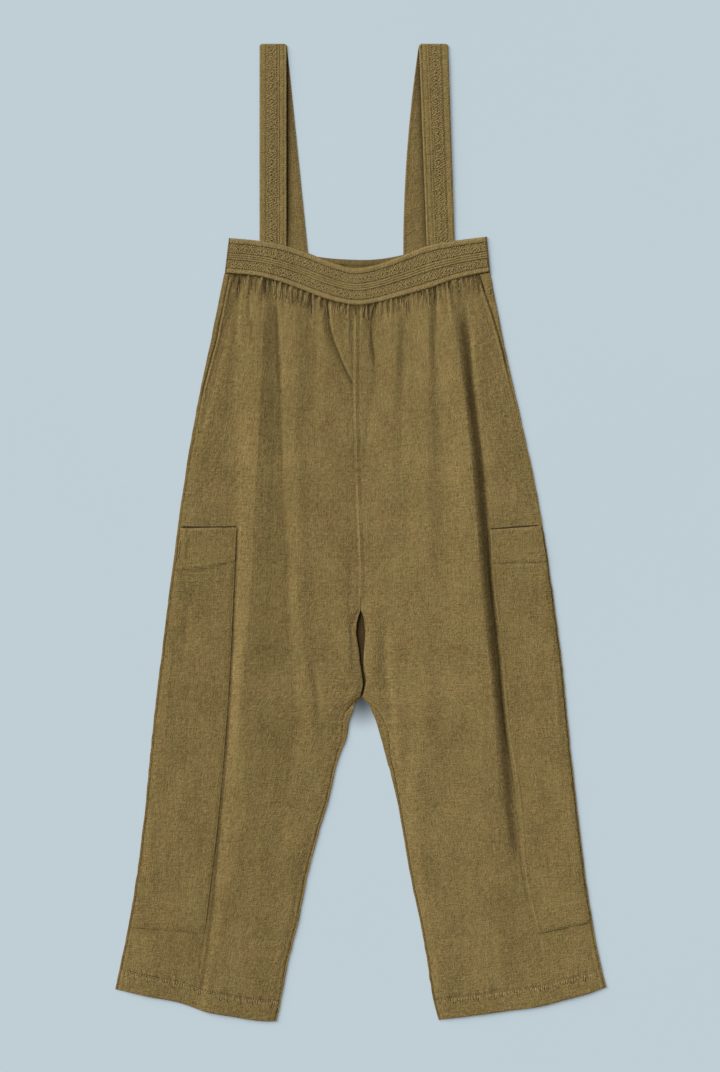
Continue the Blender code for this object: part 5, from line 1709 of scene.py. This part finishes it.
def sew(thread, hem_thread, shadow, pucker_shade, pucker_highlight, crease_shade, crease_highlight):
    """Every visible run of stitches, every bar tack and the embroidery, and the strokes of painted shade and
    highlight at the hem, the gathers, the waist seam and the pockets.
    """
    for leg, surface, tacks in (
        ("front", leg_surface, TACKS), ("pocket", None, POCKET_TACKS),
    ):
        for tack in tacks:
            side = "left" if tack.x < 0 else "right"
            place = surface(side) if surface else pocket_surface(POCKETS[0 if side == "left" else 1])
            name = f"{leg}_tack_{tacks.index(tack)}"
            starts, ends = bar_tack(tack.x, tack.y, tack.length, tack.turn)
            sewn(name, place, starts, ends, 0.8, 0.6, 0.25, thread)
    for leg in ("left", "right"):
        sign = SIGN[leg]
        side = side_seam_x(leg, -630) - sign * 3
        inner = inner_edge_x(leg, -650) + sign * 3
        x = np.linspace(side, inner, 200)
        hem_line = np.stack([x, hem_y[leg](x) + HEM_DEPTH], axis=-1)
        sew_lines(f"hem_stitches_{leg}", leg_surface(leg), [hem_line], hem_thread, 3.4, 0.7)
        # Painted shadow: dark dashes beside the hem's stitches
        starts, ends = stitch_line(hem_line + [1.7, 0.9], 3.4, 0.4)
        sewn(f"hem_needle_holes_{leg}", leg_surface(leg), starts, ends, 1.0, 0.4, 0.05, shadow)
        # Painted shade and highlight: dark and light strokes under the hem's stitch line for the shaded and lit sides
        # of its puckers
        for kind, material, drop in (("dark", pucker_shade, 0.0), ("light", pucker_highlight, 1.7)):
            starts, ends = puckered(hem_line[:, 0], leg, drop)
            name = f"hem_{kind}_puckers_{leg}"
            sewn(name, leg_surface(leg), starts, ends, 1.3, 0.5, 0.3, material)
        # Painted shade along the pinches
        starts, ends = joined([np.array(path, float) for path in PINCHES[leg]])
        sewn(f"pinches_{leg}", gathered_surface(leg), starts, ends, 1.3, 0.5, 0.5, shadow)
        # Painted shade and highlight: thin dark and light lines down the gathers
        for kind, material, seed, count in (("dark", crease_shade, 161, 40), ("light", crease_highlight, 163, 26)):
            starts, ends = gather_strokes(leg, seed + (leg == "right"), count, 22.0)
            name = f"gather_{kind}_lines_{leg}"
            sewn(name, gathered_surface(leg), starts, ends, 1.15, 0.35, 0.08, material)
        # Painted shadow: a broken dark line in the crevice under the waistband
        end, middle = side_seam_x(leg, band_bottom_y(side_curve[leg](365))), SIGN[leg] * 1.5
        x = np.linspace(end, middle + centre_x(318), 200)
        crevice = np.stack([x, band_bottom_y(x) - 0.8], axis=-1)
        starts, ends = broken_line(crevice, 151 if leg == "left" else 152, 5.0)
        sewn(f"waist_crevice_{leg}", leg_surface(leg), starts, ends, 1.1, 0.5, 0.5, shadow)
    for pocket in POCKETS:
        sign = SIGN[pocket.leg]
        edge = x_of_y(pocket.inner_edge)
        # Painted shadow along each pocket's open top edge, widest where the edge stands off most
        first, last = edge(pocket.top_y[1]), side_seam_x(pocket.leg, pocket.top_y[0])
        x = np.linspace(first, last - sign * 0.6, 100)
        mouth = np.stack([x, np.linspace(pocket.top_y[1], pocket.top_y[0], 100) + 1.4], axis=-1)
        mouth[:, 1] += 0.5 * soft_noise(mouth[:, 0], 0, 16, 1, 171)
        starts, ends = stitch_line(mouth, 6.0, 1.35)
        thickness = 2.0 + 1.5 * bell(starts[:, 0] - POCKET_GAPES[pocket.leg], 16)
        name = f"{pocket.name}_opening_shadow"
        sewn(name, leg_surface(pocket.leg), starts, ends, thickness, 0.5, 0.05, shadow)
        # Painted shade and highlight along the creases pressed into the pockets
        for kind, material, drop in (("dark", crease_shade, 1.3), ("light", crease_highlight, 0.0)):
            starts, ends = joined([np.array(path) - [0, drop] for path in PRESSED[pocket.leg]])
            name = f"{pocket.name}_{kind}_creases"
            sewn(name, pocket_surface(pocket), starts, ends, 0.95, 0.3, 0.05, material)
        y = np.linspace(pocket.top_y[1] - 3, pocket.bottom_y[1] + 3, 300)
        down = np.stack([edge(y) + sign * 3.2, y], axis=-1)
        low_outer = side_seam_x(pocket.leg, pocket.bottom_y[0]) - sign * 3
        low = [(edge(pocket.bottom_y[1]) + sign * 3, pocket.bottom_y[1] + 3.2), (low_outer, pocket.bottom_y[0] + 3.2)]
        band_y = [pocket.top_y[i] - pocket.hem_depths[i] for i in (0, 1)]
        band = [(edge(band_y[1]) + sign * 2, band_y[1] + 1), (side_seam_x(pocket.leg, band_y[0]) - sign * 3, band_y[0] + 1)]
        sew_lines(f"{pocket.name}_stitches", pocket_surface(pocket), [down, low, band], thread)
    band_lines = [[(4, v * BAND_DEPTH), (BAND_LENGTH - 4, v * BAND_DEPTH)] for v in (0.135, 0.875)]
    sew_lines("band_stitches", band_surface, [subdivided(line) for line in band_lines], thread)
    rows = (
        (BAND_LENGTH, 0.29 * BAND_DEPTH, 0.125 * BAND_DEPTH, 10.8, 131),
        (BAND_LENGTH, 0.733 * BAND_DEPTH, 0.112 * BAND_DEPTH, 10.0, 132),
    )
    embroider("band", band_surface, rows, thread, shadow)
    for strap in STRAPS:
        surface = strap_surface(strap)
        lines = [subdivided([(3, v * STRAP_WIDTH), (STRAP_RUN - 2, v * STRAP_WIDTH)]) for v in (0.07, 0.908)]
        sew_lines(f"{strap.name}_stitches", surface, lines, thread)
        row = (STRAP_RUN, 0.452 * STRAP_WIDTH, 0.20 * STRAP_WIDTH, 10.4, 133)
        embroider(strap.name, surface, [row], thread, shadow)
        edge = 0.915 if strap.mirrored is False else 0.085
        lines = [subdivided([(3, v * STRAP_WIDTH), (STRAP_RUN - 3, v * STRAP_WIDTH)]) for v in (edge,)]
        sew_lines(f"{strap.name}_back_stitches", strap_back_surface(strap), lines, thread, 3.4)


def subdivided(line):
    """The same straight line with many spots."""
    return np.stack([np.linspace(line[0][i], line[1][i], 200) for i in (0, 1)], axis=-1)


def make_legs(front_cloth, back_cloth):
    for leg in ("left", "right"):
        grids = front_grids(leg)
        if leg == "right":
            grids = flipped(grids)
        front = shell(f"front_cloth_{leg}", *grids, 1)
        lay(front, front_cloth, f"front_leg_{leg}")
        grids = back_grids(leg)
        if leg == "right":
            grids = flipped(grids)
        back = shell(f"back_cloth_{leg}", *grids, -1)
        lay(back, back_cloth, f"back_leg_{leg}")


def make_pockets(cloth):
    for pocket in POCKETS:
        grids = pocket_grids(pocket)
        if pocket.leg == "right":
            grids = flipped(grids)
        piece = shell(f"{pocket.name}_cloth", *grids, 1)
        lay(piece, cloth, pocket.name)


def make_bands(front_cloth, back_cloth):
    front = shell("front_band_cloth", *front_band_grids(), 1)
    lay(front, front_cloth, "front_waistband")
    back = shell("back_band_cloth", *back_band_grids(), -1)
    lay(back, back_cloth, "back_waistband")


def make_straps(cloth):
    for strap in STRAPS:
        piece = shell(f"{strap.name}_cloth", *strap_grids(strap), -1)
        lay(piece, cloth, strap.name)


def main():
    camera_and_light()
    floor()
    gauze = gauze_group()
    front_cloth = cloth_material("front_gauze", gauze, (143, 124, 78), (103, 86, 49), 1.2)
    back_cloth = cloth_material("back_gauze", gauze, (140, 120, 74), (100, 83, 47), 1.2)
    pocket_cloth = cloth_material("pocket_gauze", gauze, (142, 123, 77), (102, 85, 48), 1.2)
    band_cloth = cloth_material("band_gauze", gauze, (145, 126, 81), (100, 84, 48))
    # The inner band's colours are a darker copy of the band's: painted shade
    inner_cloth = cloth_material("inner_band_gauze", gauze, (128, 110, 68), (92, 76, 43))
    strap_cloth = cloth_material("strap_gauze", gauze, (140, 121, 76), (98, 82, 46))
    make_legs(front_cloth, back_cloth)
    make_pockets(pocket_cloth)
    make_bands(band_cloth, inner_cloth)
    make_straps(strap_cloth)
    thread = thread_material("cotton_thread", linear(146, 127, 82))
    hem_thread = thread_material("hem_thread", linear(156, 138, 96))
    # The dark and light stroke materials below stand for painted shade and highlight
    shadow = thread_material("eyelet_shade", linear(62, 50, 28))
    pucker_shade = thread_material("painted_strong_shade", linear(86, 71, 40))
    pucker_highlight = thread_material("painted_strong_highlight", linear(149, 131, 88))
    crease_shade = thread_material("painted_soft_shade", linear(99, 83, 48))
    crease_highlight = thread_material("painted_soft_highlight", linear(141, 122, 79))
    sew(thread, hem_thread, shadow, pucker_shade, pucker_highlight, crease_shade, crease_highlight)


main()
